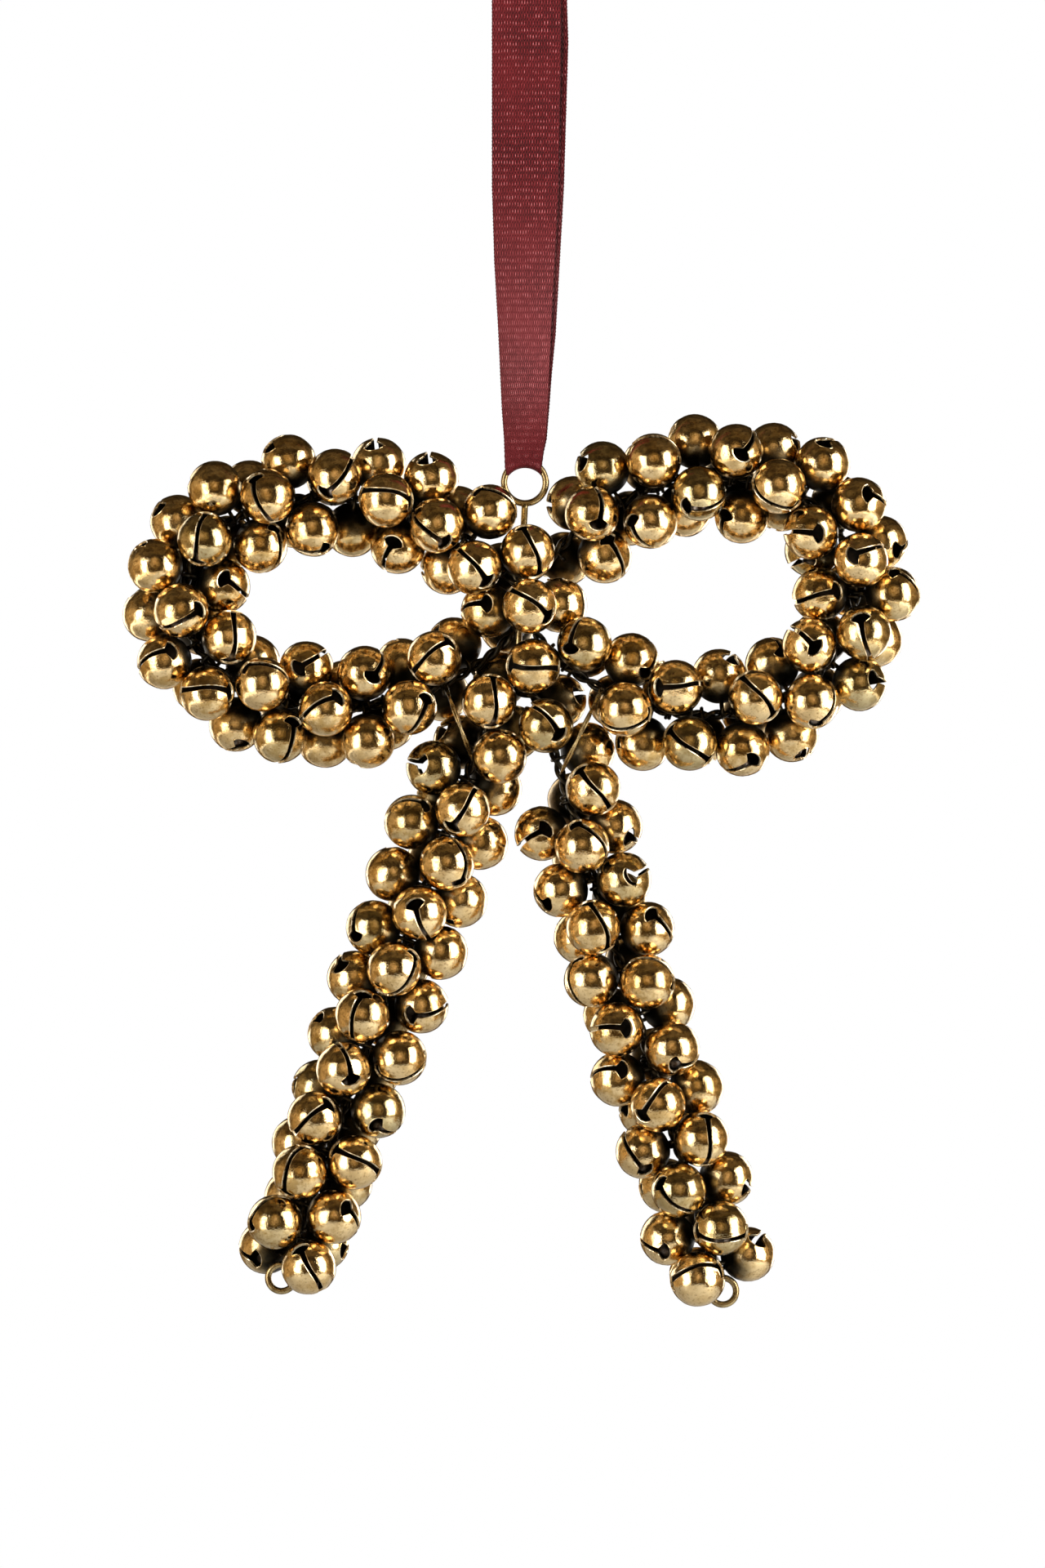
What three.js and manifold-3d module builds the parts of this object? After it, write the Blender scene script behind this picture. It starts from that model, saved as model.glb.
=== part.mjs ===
// Bow of sleigh bells on a hanging ribbon.
// Millimetres, +Z up, the front of the bow faces -Y, +X is to the right as seen from the front.
// The origin is the inside top of the ribbon loop, where the bow hangs on its hook.

import * as THREE from 'three';
import { mergeVertices } from 'three/addons/utils/BufferGeometryUtils.js';
import Module from 'manifold-3d';

const wasm = await Module();
wasm.setup();

// Ribbon
const RIBBON_WIDTH = 12.7;
const RIBBON_THICKNESS = 0.6;
const HOOK_ROOM = 6;              // clear space between the strands at the top of the loop
const RIBBON_DROP = 97.5;         // from the hook down to the inside of the lower fold
const FOLD_WIDTH = 8.1;           // the ribbon gathered in front of the top eye
const GATHER_LENGTH = 32;         // height over which the ribbon narrows to the fold
const BEND_FACETS = 6;            // in each round bend of the ribbon

// Wires
const WIRE_DIAMETER = 1.2;
const TOP_EYE_BORE = 6.3;
const TAIL_EYE_BORE = 3.6;
const STRUNG_DIAMETER = 2;        // core wire with the shanks of the bells threaded on it
const BINDING_DIAMETER = 0.9;
const BINDING_BULGE = 5;          // how far the binding wires stand out in front of the cores
const LEFT_BINDING = { onLoop: 0.87, onTail: 0.86 };      // shares of the core wires' lengths
const RIGHT_BINDING = { onLoop: 0.13, onTail: 0.84 };

// Bells
const BELL_DIAMETER = 10;
const LOOP_SHANK = 0.45;          // extra length of shank between a bell and the core wire
const TAIL_SHANK = 0.2;
const SHANK_PLAY = 0.4;           // how much that length varies from bell to bell
const KNOT_SHANK = 3.6;           // longest extra shank of the bells that fill the knot

// Bow
const KNOT_DROP = 22.6;           // from the middle of the top eye to the crossing of the loops
const LEFT_LOOP_LENGTH = 61.5;    // core wire, from the crossing to the far end of the loop
const LEFT_LOOP_HEIGHT = 38;
const LEFT_LOOP_LIFT = 1.4;
const RIGHT_LOOP_LENGTH = 59.5;
const RIGHT_LOOP_HEIGHT = 43;
const RIGHT_LOOP_LIFT = 3.2;
const LOOP_FULLNESS = 1.6;        // higher is rounder next to the knot
const CROSSING_ROOM = 0.5;        // between each core wire and the stem that they cross
const KNOT_REACH = 22;            // of those bells, from the middle of the knot
const TAIL_DROP = 15;             // from the crossing down to the bend of the tails
const TAIL_BEND = 3.3;            // half the width of the bend over which the two tails hang
const TAIL_SHIFT = -1.5;          // the bend sits a little left of the crossing
const LEFT_TAIL_LENGTH = 108.7;
const RIGHT_TAIL_LENGTH = 109.3;
const LEFT_TAIL_LEAN = 20.3;      // degrees from upright
const RIGHT_TAIL_LEAN = 17.4;

// Fits
const CLEARANCE = 0.3;
const TOUCH_GAP = 0.02;           // between neighbouring bells

// Way the bells are shared out
const STEP = 0.25;                // along the wire
const TURNS = 36;                 // directions tried round the wire
const LOOP_BUNCHES = 13;
const TAIL_BUNCHES = 9;
const CORE_SAG = 0.28;            // how far a facet of the core wire may cut a bend

const bellRadius = BELL_DIAMETER / 2;
const strungRadius = STRUNG_DIAMETER / 2;
const wireRadius = WIRE_DIAMETER / 2;
const backGap = CLEARANCE / 2;
const crossingGap = STRUNG_DIAMETER + WIRE_DIAMETER + 2 * CROSSING_ROOM;
const topEyeRadius = (TOP_EYE_BORE + WIRE_DIAMETER) / 2;
const tailEyeRadius = (TAIL_EYE_BORE + WIRE_DIAMETER) / 2;

// The lower fold hangs inside the top eye, low enough for its gathered width to clear the bore.
const foldRadius = wireRadius + CLEARANCE;
const foldInEye = TOP_EYE_BORE * 0.32;
const eyeZ = -RIBBON_DROP - foldInEye;
const crossing = new THREE.Vector3(0, 0, eyeZ - KNOT_DROP);

const brass = { color: 0x8a6a38, roughness: 0.28, metalness: 1 };
const wireBrass = { color: 0x9c834f, roughness: 0.35, metalness: 1 };
const grosgrain = { color: 0x6b2333, roughness: 0.85, metalness: 0 };

const xAxis = new THREE.Vector3(1, 0, 0);
const yAxis = new THREE.Vector3(0, 1, 0);
const zAxis = new THREE.Vector3(0, 0, 1);

const bow = new THREE.Group();

function addMesh(name, geometry, look) {
  const mesh = new THREE.Mesh(geometry, new THREE.MeshStandardMaterial(look));
  mesh.name = name;
  bow.add(mesh);
  return mesh;
}

// Closed geometry to solid and back

function toSolid(geometry) {
  const bare = geometry.clone();
  bare.deleteAttribute('normal');
  bare.deleteAttribute('uv');
  const merged = mergeVertices(bare, 1e-4);
  return new wasm.Manifold(new wasm.Mesh({
    numProp: 3,
    vertProperties: new Float32Array(merged.attributes.position.array),
    triVerts: new Uint32Array(merged.index.array),
  }));
}

function toGeometry(solid) {
  const mesh = solid.getMesh();
  const geometry = new THREE.BufferGeometry();
  geometry.setAttribute('position', new THREE.BufferAttribute(mesh.vertProperties, 3));
  geometry.setIndex(new THREE.BufferAttribute(mesh.triVerts, 1));
  geometry.computeVertexNormals();
  return geometry;
}

function joined(geometries) {
  const solids = geometries.map(toSolid);
  return toGeometry(solids.slice(1).reduce((sum, solid) => sum.add(solid), solids[0]));
}

// Round wire along a curve

function ring(radius, sides) {
  const points = [];
  for (let i = 0; i < sides; i++) {
    const turn = 2 * Math.PI * i / sides;
    points.push(new THREE.Vector2(radius * Math.cos(turn), radius * Math.sin(turn)));
  }
  return new THREE.Shape(points);
}

function tube(path, radius, sides, steps) {
  return new THREE.ExtrudeGeometry(ring(radius, sides), { extrudePath: path, steps });
}

// Route of a wire, cut into even steps, with the two directions across it at each step

function route(curve) {
  const fine = [];
  const count = 2400;
  for (let i = 0; i <= count; i++) {
    fine.push(curve(i / count));
  }
  const along = [0];
  for (let i = 1; i <= count; i++) {
    along.push(along[i - 1] + fine[i].distanceTo(fine[i - 1]));
  }
  const stations = [];
  let j = 1;
  for (let s = 0; s <= along[count]; s += STEP) {
    while (j < count && along[j] < s) {
      j += 1;
    }
    const share = (s - along[j - 1]) / (along[j] - along[j - 1]);
    stations.push(fine[j - 1].clone().lerp(fine[j], share));
  }
  const last = stations.length - 1;
  const depth = new THREE.Vector3(0, 1, 0);
  const side = [];
  const up = [];
  for (let i = 0; i <= last; i++) {
    const before = stations[Math.max(i - 1, 0)];
    const after = stations[Math.min(i + 1, last)];
    const ahead = after.clone().sub(before).normalize();
    const across = ahead.clone().cross(depth).normalize();
    side.push(across);
    up.push(across.clone().cross(ahead));
  }
  return { stations, side, up };
}

// A loop starts in front of the crossing, rounds its far end and comes back behind the crossing.
// With rise 1 it leaves upwards, with rise -1 downwards.

function loopCurve(sign, rise, length, height, lift) {
  return (share) => {
    const turn = Math.PI * share;
    const out = Math.sin(turn);
    const depth = 0.5 * crossingGap * Math.exp(-4 * out * out);
    return new THREE.Vector3(
      crossing.x + sign * length * Math.pow(out, LOOP_FULLNESS),
      share < 0.5 ? -depth : depth,
      crossing.z + 0.5 * rise * height * Math.sin(2 * turn) + lift * out,
    );
  };
}

// A tail runs from its free end up to the bend under the crossing.

const bend = new THREE.Vector3(crossing.x + TAIL_SHIFT, 0, crossing.z - TAIL_DROP);

function tailCurve(sign, length, lean) {
  const angle = THREE.MathUtils.degToRad(lean);
  const down = new THREE.Vector3(sign * Math.sin(angle), 0, -Math.cos(angle));
  const corner = bend.clone();
  corner.x += sign * TAIL_BEND;
  const shoulder = corner.clone().addScaledVector(down, TAIL_BEND);
  const end = corner.clone().addScaledVector(down, length);
  const turn = new THREE.QuadraticBezierCurve3(shoulder, corner, bend);
  const straight = 0.9;
  return (share) => {
    if (share < straight) {
      return end.clone().lerp(shoulder, share / straight);
    }
    return turn.getPoint((share - straight) / (1 - straight));
  };
}

const leftLoop = loopCurve(-1, 1, LEFT_LOOP_LENGTH, LEFT_LOOP_HEIGHT, LEFT_LOOP_LIFT);
const rightLoop = loopCurve(1, -1, RIGHT_LOOP_LENGTH, RIGHT_LOOP_HEIGHT, RIGHT_LOOP_LIFT);
const limbs = [
  {
    name: 'left_tail',
    route: route(tailCurve(-1, LEFT_TAIL_LENGTH, LEFT_TAIL_LEAN)),
    shank: TAIL_SHANK,
    bunches: TAIL_BUNCHES,
    seed: 1137,
  },
  {
    name: 'right_tail',
    route: route(tailCurve(1, RIGHT_TAIL_LENGTH, RIGHT_TAIL_LEAN)),
    shank: TAIL_SHANK,
    bunches: TAIL_BUNCHES,
    seed: 693,
  },
  {
    name: 'left_loop',
    route: route(leftLoop),
    shank: LOOP_SHANK,
    bunches: LOOP_BUNCHES,
    seed: 282,
  },
  {
    name: 'right_loop',
    route: route(rightLoop),
    shank: LOOP_SHANK,
    bunches: LOOP_BUNCHES,
    seed: 15,
  },
];

// The top eye is a ring with a stem that runs down between the crossing wires to the tails' bend.

const eyeCentre = new THREE.Vector3(crossing.x, 0, eyeZ);
const stemTop = new THREE.Vector3(crossing.x, 0, eyeZ - topEyeRadius);
const stemFoot = bend.clone();
stemFoot.z += strungRadius + CLEARANCE;

// Each tail ends in a small eye of bare wire.

function tailEye(limb) {
  const { stations, side } = limb.route;
  const out = stations[0].clone().sub(stations[4]).normalize();
  const start = stations[0].clone().addScaledVector(out, CLEARANCE);
  const neck = start.clone().addScaledVector(out, wireRadius * 2);
  const centre = neck.clone().addScaledVector(out, tailEyeRadius);
  return { start, neck, centre, side: side[0], out };
}

const tailEyes = [tailEye(limbs[0]), tailEye(limbs[1])];

// A binding wire ties the lower strand of a loop to the tail under it, bowed out to the front.

function bindingPath(loop, tail, tied) {
  const strand = loop.route.stations;
  const leg = tail.route.stations;
  const from = strand[Math.round(tied.onLoop * (strand.length - 1))].clone();
  const to = leg[Math.round(tied.onTail * (leg.length - 1))].clone();
  from.y -= strungRadius + CLEARANCE + BINDING_DIAMETER / 2;
  to.y -= strungRadius + CLEARANCE + BINDING_DIAMETER / 2;
  const middle = from.clone().lerp(to, 0.5);
  middle.y -= 2 * BINDING_BULGE;
  return new THREE.QuadraticBezierCurve3(from, middle, to);
}

const bindings = [
  bindingPath(limbs[2], limbs[0], LEFT_BINDING),
  bindingPath(limbs[3], limbs[1], RIGHT_BINDING),
];

// Room that the wires need: points along them, each with the distance a bell keeps from it

function alongLine(from, to, spacing) {
  const count = Math.max(1, Math.ceil(from.distanceTo(to) / spacing));
  const points = [];
  for (let i = 0; i <= count; i++) {
    points.push(from.clone().lerp(to, i / count));
  }
  return points;
}

function aroundRing(centre, radius, across, along, spacing) {
  const count = Math.ceil(2 * Math.PI * radius / spacing);
  const points = [];
  for (let i = 0; i < count; i++) {
    const turn = 2 * Math.PI * i / count;
    points.push(centre.clone()
      .addScaledVector(across, radius * Math.cos(turn))
      .addScaledVector(along, radius * Math.sin(turn)));
  }
  return points;
}

const wireRoom = [];

function keepClear(points, radius) {
  for (const point of points) {
    wireRoom.push({ point, reach: bellRadius + radius + backGap });
  }
}

for (const limb of limbs) {
  keepClear(limb.route.stations.filter((point, i) => i % 3 === 0), strungRadius);
}
keepClear(alongLine(stemTop, stemFoot, 1), wireRadius);
keepClear(aroundRing(eyeCentre, topEyeRadius, xAxis, zAxis, 1), wireRadius);
for (const eye of tailEyes) {
  keepClear(alongLine(eye.start, eye.neck, 1), wireRadius);
  keepClear(aroundRing(eye.centre, tailEyeRadius, eye.side, eye.out, 1), wireRadius);
}
for (const path of bindings) {
  keepClear(path.getPoints(24), BINDING_DIAMETER / 2);
}

// Even, repeatable scatter

function scatter(seed) {
  let value = seed;
  return () => {
    value = (value * 16807) % 2147483647;
    return value / 2147483647;
  };
}

const knotCentre = crossing.clone().lerp(bend, 0.5);

// Threads bells on a limb. Each bell in turn takes the first place along the wire,
// in any direction round it, where it touches no bell and no wire.

const bells = [];

function isFree(centre) {
  for (const bell of bells) {
    if (bell.centre.distanceToSquared(centre) < (BELL_DIAMETER + TOUCH_GAP) ** 2) {
      return false;
    }
  }
  for (const { point, reach } of wireRoom) {
    if (point.distanceToSquared(centre) < reach * reach) {
      return false;
    }
  }
  return true;
}

function firstPlace(limb, from, distance, phase) {
  const { stations, side, up } = limb.route;
  for (let i = from; i < stations.length; i++) {
    for (let k = 0; k < TURNS; k++) {
      const angle = phase + 2 * Math.PI * k / TURNS;
      const centre = stations[i].clone()
        .addScaledVector(side[i], distance * Math.cos(angle))
        .addScaledVector(up[i], distance * Math.sin(angle));
      if (isFree(centre)) {
        return { limb, station: i, centre };
      }
    }
  }
  return null;
}

function threadBells(limb) {
  const draw = scatter(limb.seed);
  const nearest = bellRadius + strungRadius + backGap + limb.shank;
  const lookBack = Math.ceil(BELL_DIAMETER / STEP);
  let from = 0;
  for (;;) {
    const distance = nearest + SHANK_PLAY * draw();
    const phase = 2 * Math.PI * draw();
    const bell = firstPlace(limb, from, distance, phase);
    if (!bell) {
      break;
    }
    bells.push(bell);
    from = Math.max(0, bell.station - lookBack);
  }
}

// Fills what is left open round the knot with bells on longer shanks.

function fillKnot(limb) {
  const nearest = bellRadius + strungRadius + backGap + limb.shank;
  for (let extra = SHANK_PLAY; extra <= KNOT_SHANK; extra += SHANK_PLAY) {
    let from = 0;
    for (;;) {
      const bell = firstPlace(limb, from, nearest + extra, 0);
      if (!bell) {
        break;
      }
      if (bell.centre.distanceTo(knotCentre) < KNOT_REACH) {
        bells.push(bell);
      }
      from = bell.station + 1;
    }
  }
}

limbs.forEach(threadBells);
limbs.forEach(fillKnot);

// A faceted bell with its back pole drawn out into the shank that reaches the core wire

function bellGeometry(centre, shankEnd) {
  const outward = centre.clone().sub(shankEnd);
  const reach = outward.length();
  const geometry = new THREE.SphereGeometry(bellRadius, 6, 3);
  const position = geometry.attributes.position;
  for (let i = 0; i < position.count; i++) {
    if (position.getY(i) < -0.999 * bellRadius) {
      position.setXYZ(i, 0, -reach, 0);
    }
  }
  const turn = new THREE.Quaternion().setFromUnitVectors(yAxis, outward.normalize());
  geometry.applyQuaternion(turn);
  geometry.translate(centre.x, centre.y, centre.z);
  return geometry;
}

// Bunches of neighbouring bells, each on its own stretch of core wire

function bunchCuts(limb, own) {
  const cuts = [0];
  for (let b = 1; b < limb.bunches; b++) {
    const next = Math.round(b * own.length / limb.bunches);
    cuts.push((own[next - 1].station + own[next].station) / 2);
  }
  cuts.push(limb.route.stations.length - 1);
  return cuts;
}

function stationAt(limb, place) {
  const { stations } = limb.route;
  const low = Math.min(Math.floor(place), stations.length - 2);
  return stations[low].clone().lerp(stations[low + 1], place - low);
}

// As many facets as keep the core within a small distance of its bends

function coreSteps(limb, low, high) {
  const { side } = limb.route;
  const span = 2 * Math.ceil(strungRadius / STEP);
  let sharpest = 1e-6;
  for (let i = Math.ceil(low); i + span < high; i++) {
    sharpest = Math.max(sharpest, side[i].angleTo(side[i + span]) / (span * STEP));
  }
  const facet = Math.sqrt(8 * CORE_SAG / sharpest);
  return Math.ceil((high - low) * STEP / facet);
}

function addBunches(limb) {
  const own = bells.filter((bell) => bell.limb === limb);
  own.sort((a, b) => a.station - b.station);
  const cuts = bunchCuts(limb, own);
  const gap = CLEARANCE / 2 / STEP;
  const inset = 0.6 * strungRadius / STEP;
  for (let b = 0; b < limb.bunches; b++) {
    const low = cuts[b] + gap;
    const high = cuts[b + 1] - gap;
    const steps = coreSteps(limb, low, high);
    const core = [];
    for (let i = 0; i <= steps; i++) {
      core.push(stationAt(limb, low + (high - low) * i / steps));
    }
    const path = new THREE.CatmullRomCurve3(core, false, 'centripetal');
    const pieces = [tube(path, strungRadius, 4, steps)];
    const first = Math.round(b * own.length / limb.bunches);
    const last = Math.round((b + 1) * own.length / limb.bunches);
    for (const bell of own.slice(first, last)) {
      const place = Math.min(Math.max(bell.station, low + inset), high - inset);
      const onWire = stationAt(limb, place);
      const share = 0.5 * strungRadius / onWire.distanceTo(bell.centre);
      const shankEnd = onWire.clone().lerp(bell.centre, share);
      pieces.push(bellGeometry(bell.centre, shankEnd));
    }
    addMesh(`${limb.name}_bells_${String(b + 1).padStart(2, '0')}`, joined(pieces), brass);
  }
}

limbs.forEach(addBunches);

// Bare wires

function torus(centre, radius, across, along, sides) {
  const geometry = new THREE.TorusGeometry(radius, wireRadius, 5, sides);
  const basis = new THREE.Matrix4().makeBasis(across, along, across.clone().cross(along));
  geometry.applyMatrix4(basis);
  geometry.translate(centre.x, centre.y, centre.z);
  return geometry;
}

const stem = tube(new THREE.LineCurve3(stemTop, stemFoot), wireRadius, 5, 1);
addMesh('top_eye', joined([torus(eyeCentre, topEyeRadius, xAxis, zAxis, 16), stem]), wireBrass);

['left_tail_eye', 'right_tail_eye'].forEach((name, i) => {
  const { start, neck, centre, side, out } = tailEyes[i];
  const shaft = tube(new THREE.LineCurve3(start, neck), wireRadius, 5, 1);
  addMesh(name, joined([torus(centre, tailEyeRadius, side, out, 10), shaft]), wireBrass);
});

['left_binding_wire', 'right_binding_wire'].forEach((name, i) => {
  addMesh(name, tube(bindings[i], BINDING_DIAMETER / 2, 5, 6), wireBrass);
});

// Ribbon: a closed band over the hook and through the top eye, cut to its gathered outline.
// Its fold hangs inside the eye, and its narrowed end keeps clear of the eye's bore.

const topRadius = HOOK_ROOM / 2;
const lowZ = -RIBBON_DROP + foldRadius;

function bandOutline(extra) {
  const outline = new THREE.Shape();
  outline.absarc(0, -topRadius, topRadius + extra, 0, Math.PI, false);
  outline.absarc(0, lowZ, foldRadius + extra, Math.PI, 2 * Math.PI, false);
  return outline;
}

const band = bandOutline(RIBBON_THICKNESS);
band.holes.push(new THREE.Path(bandOutline(0).getPoints(BEND_FACETS)));
const bandLoop = new THREE.ExtrudeGeometry(band, {
  depth: RIBBON_WIDTH,
  bevelEnabled: false,
  curveSegments: BEND_FACETS,
});
bandLoop.translate(0, 0, -RIBBON_WIDTH / 2);
bandLoop.applyMatrix4(new THREE.Matrix4().makeBasis(yAxis, zAxis, xAxis));

const boreRadius = TOP_EYE_BORE / 2;
const foldLow = lowZ - foldRadius - RIBBON_THICKNESS;
const foldHalf = Math.sqrt(boreRadius ** 2 - foldInEye ** 2) - CLEARANCE;
const eyeTop = eyeZ + topEyeRadius + wireRadius;
const gatherTop = eyeTop + GATHER_LENGTH;
const front = new THREE.Shape();
front.moveTo(-foldHalf, foldLow - CLEARANCE);
front.lineTo(foldHalf, foldLow - CLEARANCE);
front.lineTo(foldHalf, lowZ);
front.lineTo(FOLD_WIDTH / 2, lowZ + foldRadius);
front.lineTo(RIBBON_WIDTH / 2, gatherTop);
front.lineTo(RIBBON_WIDTH / 2, topRadius);
front.lineTo(-RIBBON_WIDTH / 2, topRadius);
front.lineTo(-RIBBON_WIDTH / 2, gatherTop);
front.lineTo(-FOLD_WIDTH / 2, lowZ + foldRadius);
front.lineTo(-foldHalf, lowZ);
front.closePath();
const bandDepth = 2 * (topRadius + RIBBON_THICKNESS) + 2 * CLEARANCE;
const outline = new THREE.ExtrudeGeometry(front, { depth: bandDepth, bevelEnabled: false });
outline.translate(0, 0, -bandDepth / 2);
outline.applyMatrix4(new THREE.Matrix4().makeBasis(xAxis, zAxis, yAxis.clone().negate()));
addMesh('hanging_ribbon', toGeometry(toSolid(bandLoop).intersect(toSolid(outline))), grosgrain);

export default bow;
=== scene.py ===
"""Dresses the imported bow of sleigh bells: pressed brass bells, wires, ribbon and the stage.

Lengths are worked out in millimetres and put into the meshes in metres. The front of the bow
faces -Y.
"""

import math

import bpy
import numpy as np
from bpy.props import FloatProperty, FloatVectorProperty, PointerProperty
from bpy.types import Operator, Panel, PropertyGroup
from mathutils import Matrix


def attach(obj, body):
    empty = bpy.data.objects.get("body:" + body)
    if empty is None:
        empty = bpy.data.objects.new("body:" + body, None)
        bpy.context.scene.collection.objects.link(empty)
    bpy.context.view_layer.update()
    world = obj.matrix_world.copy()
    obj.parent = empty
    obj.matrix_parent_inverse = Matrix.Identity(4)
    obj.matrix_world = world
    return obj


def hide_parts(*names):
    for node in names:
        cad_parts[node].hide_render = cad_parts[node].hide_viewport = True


bl_info = {
    "name": "Sleigh Bell Bow",
    "version": (1, 0, 0),
    "blender": (4, 5, 0),
    "location": "View3D > Sidebar > Bell Bow",
    "description": "Builds the bells, wires and ribbon of a hanging bow around its packed model",
    "category": "Object",
}

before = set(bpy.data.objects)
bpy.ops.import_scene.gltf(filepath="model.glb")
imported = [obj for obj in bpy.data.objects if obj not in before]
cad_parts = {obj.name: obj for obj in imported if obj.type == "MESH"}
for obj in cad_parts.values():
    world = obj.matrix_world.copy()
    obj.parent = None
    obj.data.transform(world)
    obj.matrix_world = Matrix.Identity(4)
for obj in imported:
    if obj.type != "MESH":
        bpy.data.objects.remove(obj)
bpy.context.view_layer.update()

MM = 0.001
FRONT_POLE = np.array([0.0, 0.0, 1.0])
X_AXIS = np.array([1.0, 0.0, 0.0])
Y_AXIS = np.array([0.0, 1.0, 0.0])
Z_AXIS = np.array([0.0, 0.0, 1.0])

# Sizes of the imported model, in millimetres. They place the bells, so they match its source.
RIBBON_DROP = 97.5
WIRE_DIAMETER = 1.2
TOP_EYE_BORE = 6.3
FOLD_IN_EYE = 0.32          # share of the top eye's bore that the ribbon's fold hangs down into
TAIL_EYE_BORE = 3.6
STRUNG_DIAMETER = 2.0
BINDING_DIAMETER = 0.9
BINDING_BULGE = 5.0
BELL_DIAMETER = 10.0
LOOP_SHANK = 0.45
TAIL_SHANK = 0.2
SHANK_PLAY = 0.4
KNOT_SHANK = 3.6
KNOT_DROP = 22.6
LOOP_FULLNESS = 1.6
CROSSING_ROOM = 0.5
CROSSING_SPREAD = 4.0       # how soon the two strands of a loop come together
KNOT_REACH = 22.0
TAIL_DROP = 15.0
TAIL_BEND = 3.3
TAIL_SHIFT = -1.5
CLEARANCE = 0.3
TOUCH_GAP = 0.02
STEP = 0.25                 # between the stations along a wire
ROUTE_POINTS = 2400
TURNS = 36                  # directions round the wire that a bell is tried in
STRAIGHT_SHARE = 0.9        # of a tail's route, before its bend
CHECK_SPACING = 1.0         # between the points that stand for a wire
BINDING_CHECKS = 24

BELL_RADIUS = BELL_DIAMETER / 2
STRUNG_RADIUS = STRUNG_DIAMETER / 2
WIRE_RADIUS = WIRE_DIAMETER / 2
BINDING_RADIUS = BINDING_DIAMETER / 2
BACK_GAP = CLEARANCE / 2
TOP_EYE_RADIUS = (TOP_EYE_BORE + WIRE_DIAMETER) / 2
TAIL_EYE_RADIUS = (TAIL_EYE_BORE + WIRE_DIAMETER) / 2
CROSSING_GAP = STRUNG_DIAMETER + WIRE_DIAMETER + 2 * CROSSING_ROOM
EYE_CENTRE = np.array([0.0, 0.0, -RIBBON_DROP - TOP_EYE_BORE * FOLD_IN_EYE])
CROSSING = EYE_CENTRE - KNOT_DROP * Z_AXIS
BEND = CROSSING + TAIL_SHIFT * X_AXIS - TAIL_DROP * Z_AXIS
KNOT_CENTRE = CROSSING + (BEND - CROSSING) * 0.5


# Routes of the wires


def unit(vector):
    """The vector, or each row of an array of them, at length 1."""
    return vector / np.linalg.norm(vector, axis=-1, keepdims=True)


def route(curve):
    """Even steps along a curve, with the two directions across the wire at each step."""
    fine = curve(np.arange(ROUTE_POINTS + 1) / ROUTE_POINTS)
    gaps = np.sqrt((np.diff(fine, axis=0) ** 2).sum(axis=1))
    along = np.concatenate([[0.0], np.cumsum(gaps)])
    places = STEP * np.arange(int(along[-1] // STEP) + 1)
    after = np.clip(np.searchsorted(along, places), 1, ROUTE_POINTS)
    share = (places - along[after - 1]) / (along[after] - along[after - 1])
    stations = fine[after - 1] + (fine[after] - fine[after - 1]) * share[:, None]
    last = len(stations) - 1
    index = np.arange(last + 1)
    ahead = unit(stations[np.minimum(index + 1, last)] - stations[np.maximum(index - 1, 0)])
    side = unit(np.cross(ahead, Y_AXIS))
    return {"stations": stations, "side": side, "up": np.cross(side, ahead)}


def loop_curve(sign, rise, length, height, lift):
    """A loop that starts in front of the crossing and comes back behind it."""

    def point(share):
        turn = math.pi * share
        out = np.sin(turn)
        depth = 0.5 * CROSSING_GAP * np.exp(-CROSSING_SPREAD * out * out)
        x = CROSSING[0] + sign * length * np.power(np.maximum(out, 0), LOOP_FULLNESS)
        y = np.where(share < 0.5, -depth, depth)
        z = CROSSING[2] + 0.5 * rise * height * np.sin(2 * turn) + lift * out
        return np.stack([x, y, z], axis=1)

    return point


def bezier(start, corner, end, share):
    """Points on a quadratic curve."""
    t = np.asarray(share)[:, None]
    k = 1 - t
    return k * k * start + 2 * k * t * corner + t * t * end


def tail_curve(sign, length, lean):
    """A tail, from its free end up to the bend under the crossing."""
    angle = math.radians(lean)
    down = np.array([sign * math.sin(angle), 0.0, -math.cos(angle)])
    corner = BEND + sign * TAIL_BEND * X_AXIS
    shoulder = corner + down * TAIL_BEND
    end = corner + down * length

    def point(share):
        line = end + (shoulder - end) * (share / STRAIGHT_SHARE)[:, None]
        in_bend = (share - STRAIGHT_SHARE) / (1 - STRAIGHT_SHARE)
        turn = bezier(shoulder, corner, BEND, in_bend)
        return np.where((share < STRAIGHT_SHARE)[:, None], line, turn)

    return point


LIMBS = [
    dict(name="left_tail", shank=TAIL_SHANK, bunches=9, seed=1137,
         curve=tail_curve(sign=-1, length=108.7, lean=20.3)),
    dict(name="right_tail", shank=TAIL_SHANK, bunches=9, seed=693,
         curve=tail_curve(sign=1, length=109.3, lean=17.4)),
    dict(name="left_loop", shank=LOOP_SHANK, bunches=13, seed=282,
         curve=loop_curve(sign=-1, rise=1, length=61.5, height=38.0, lift=1.4)),
    dict(name="right_loop", shank=LOOP_SHANK, bunches=13, seed=15,
         curve=loop_curve(sign=1, rise=-1, length=59.5, height=43.0, lift=3.2)),
]
for limb in LIMBS:
    limb.update(route(limb["curve"]))


def tail_eye(limb):
    """Where the bare end of a tail's wire runs: its start, its neck and the middle of its ring."""
    stations = limb["stations"]
    out = unit(stations[0] - stations[4])
    start = stations[0] + out * CLEARANCE
    neck = start + out * (WIRE_RADIUS * 2)
    return {"start": start, "neck": neck, "centre": neck + out * TAIL_EYE_RADIUS,
            "side": limb["side"][0], "out": out}


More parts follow.
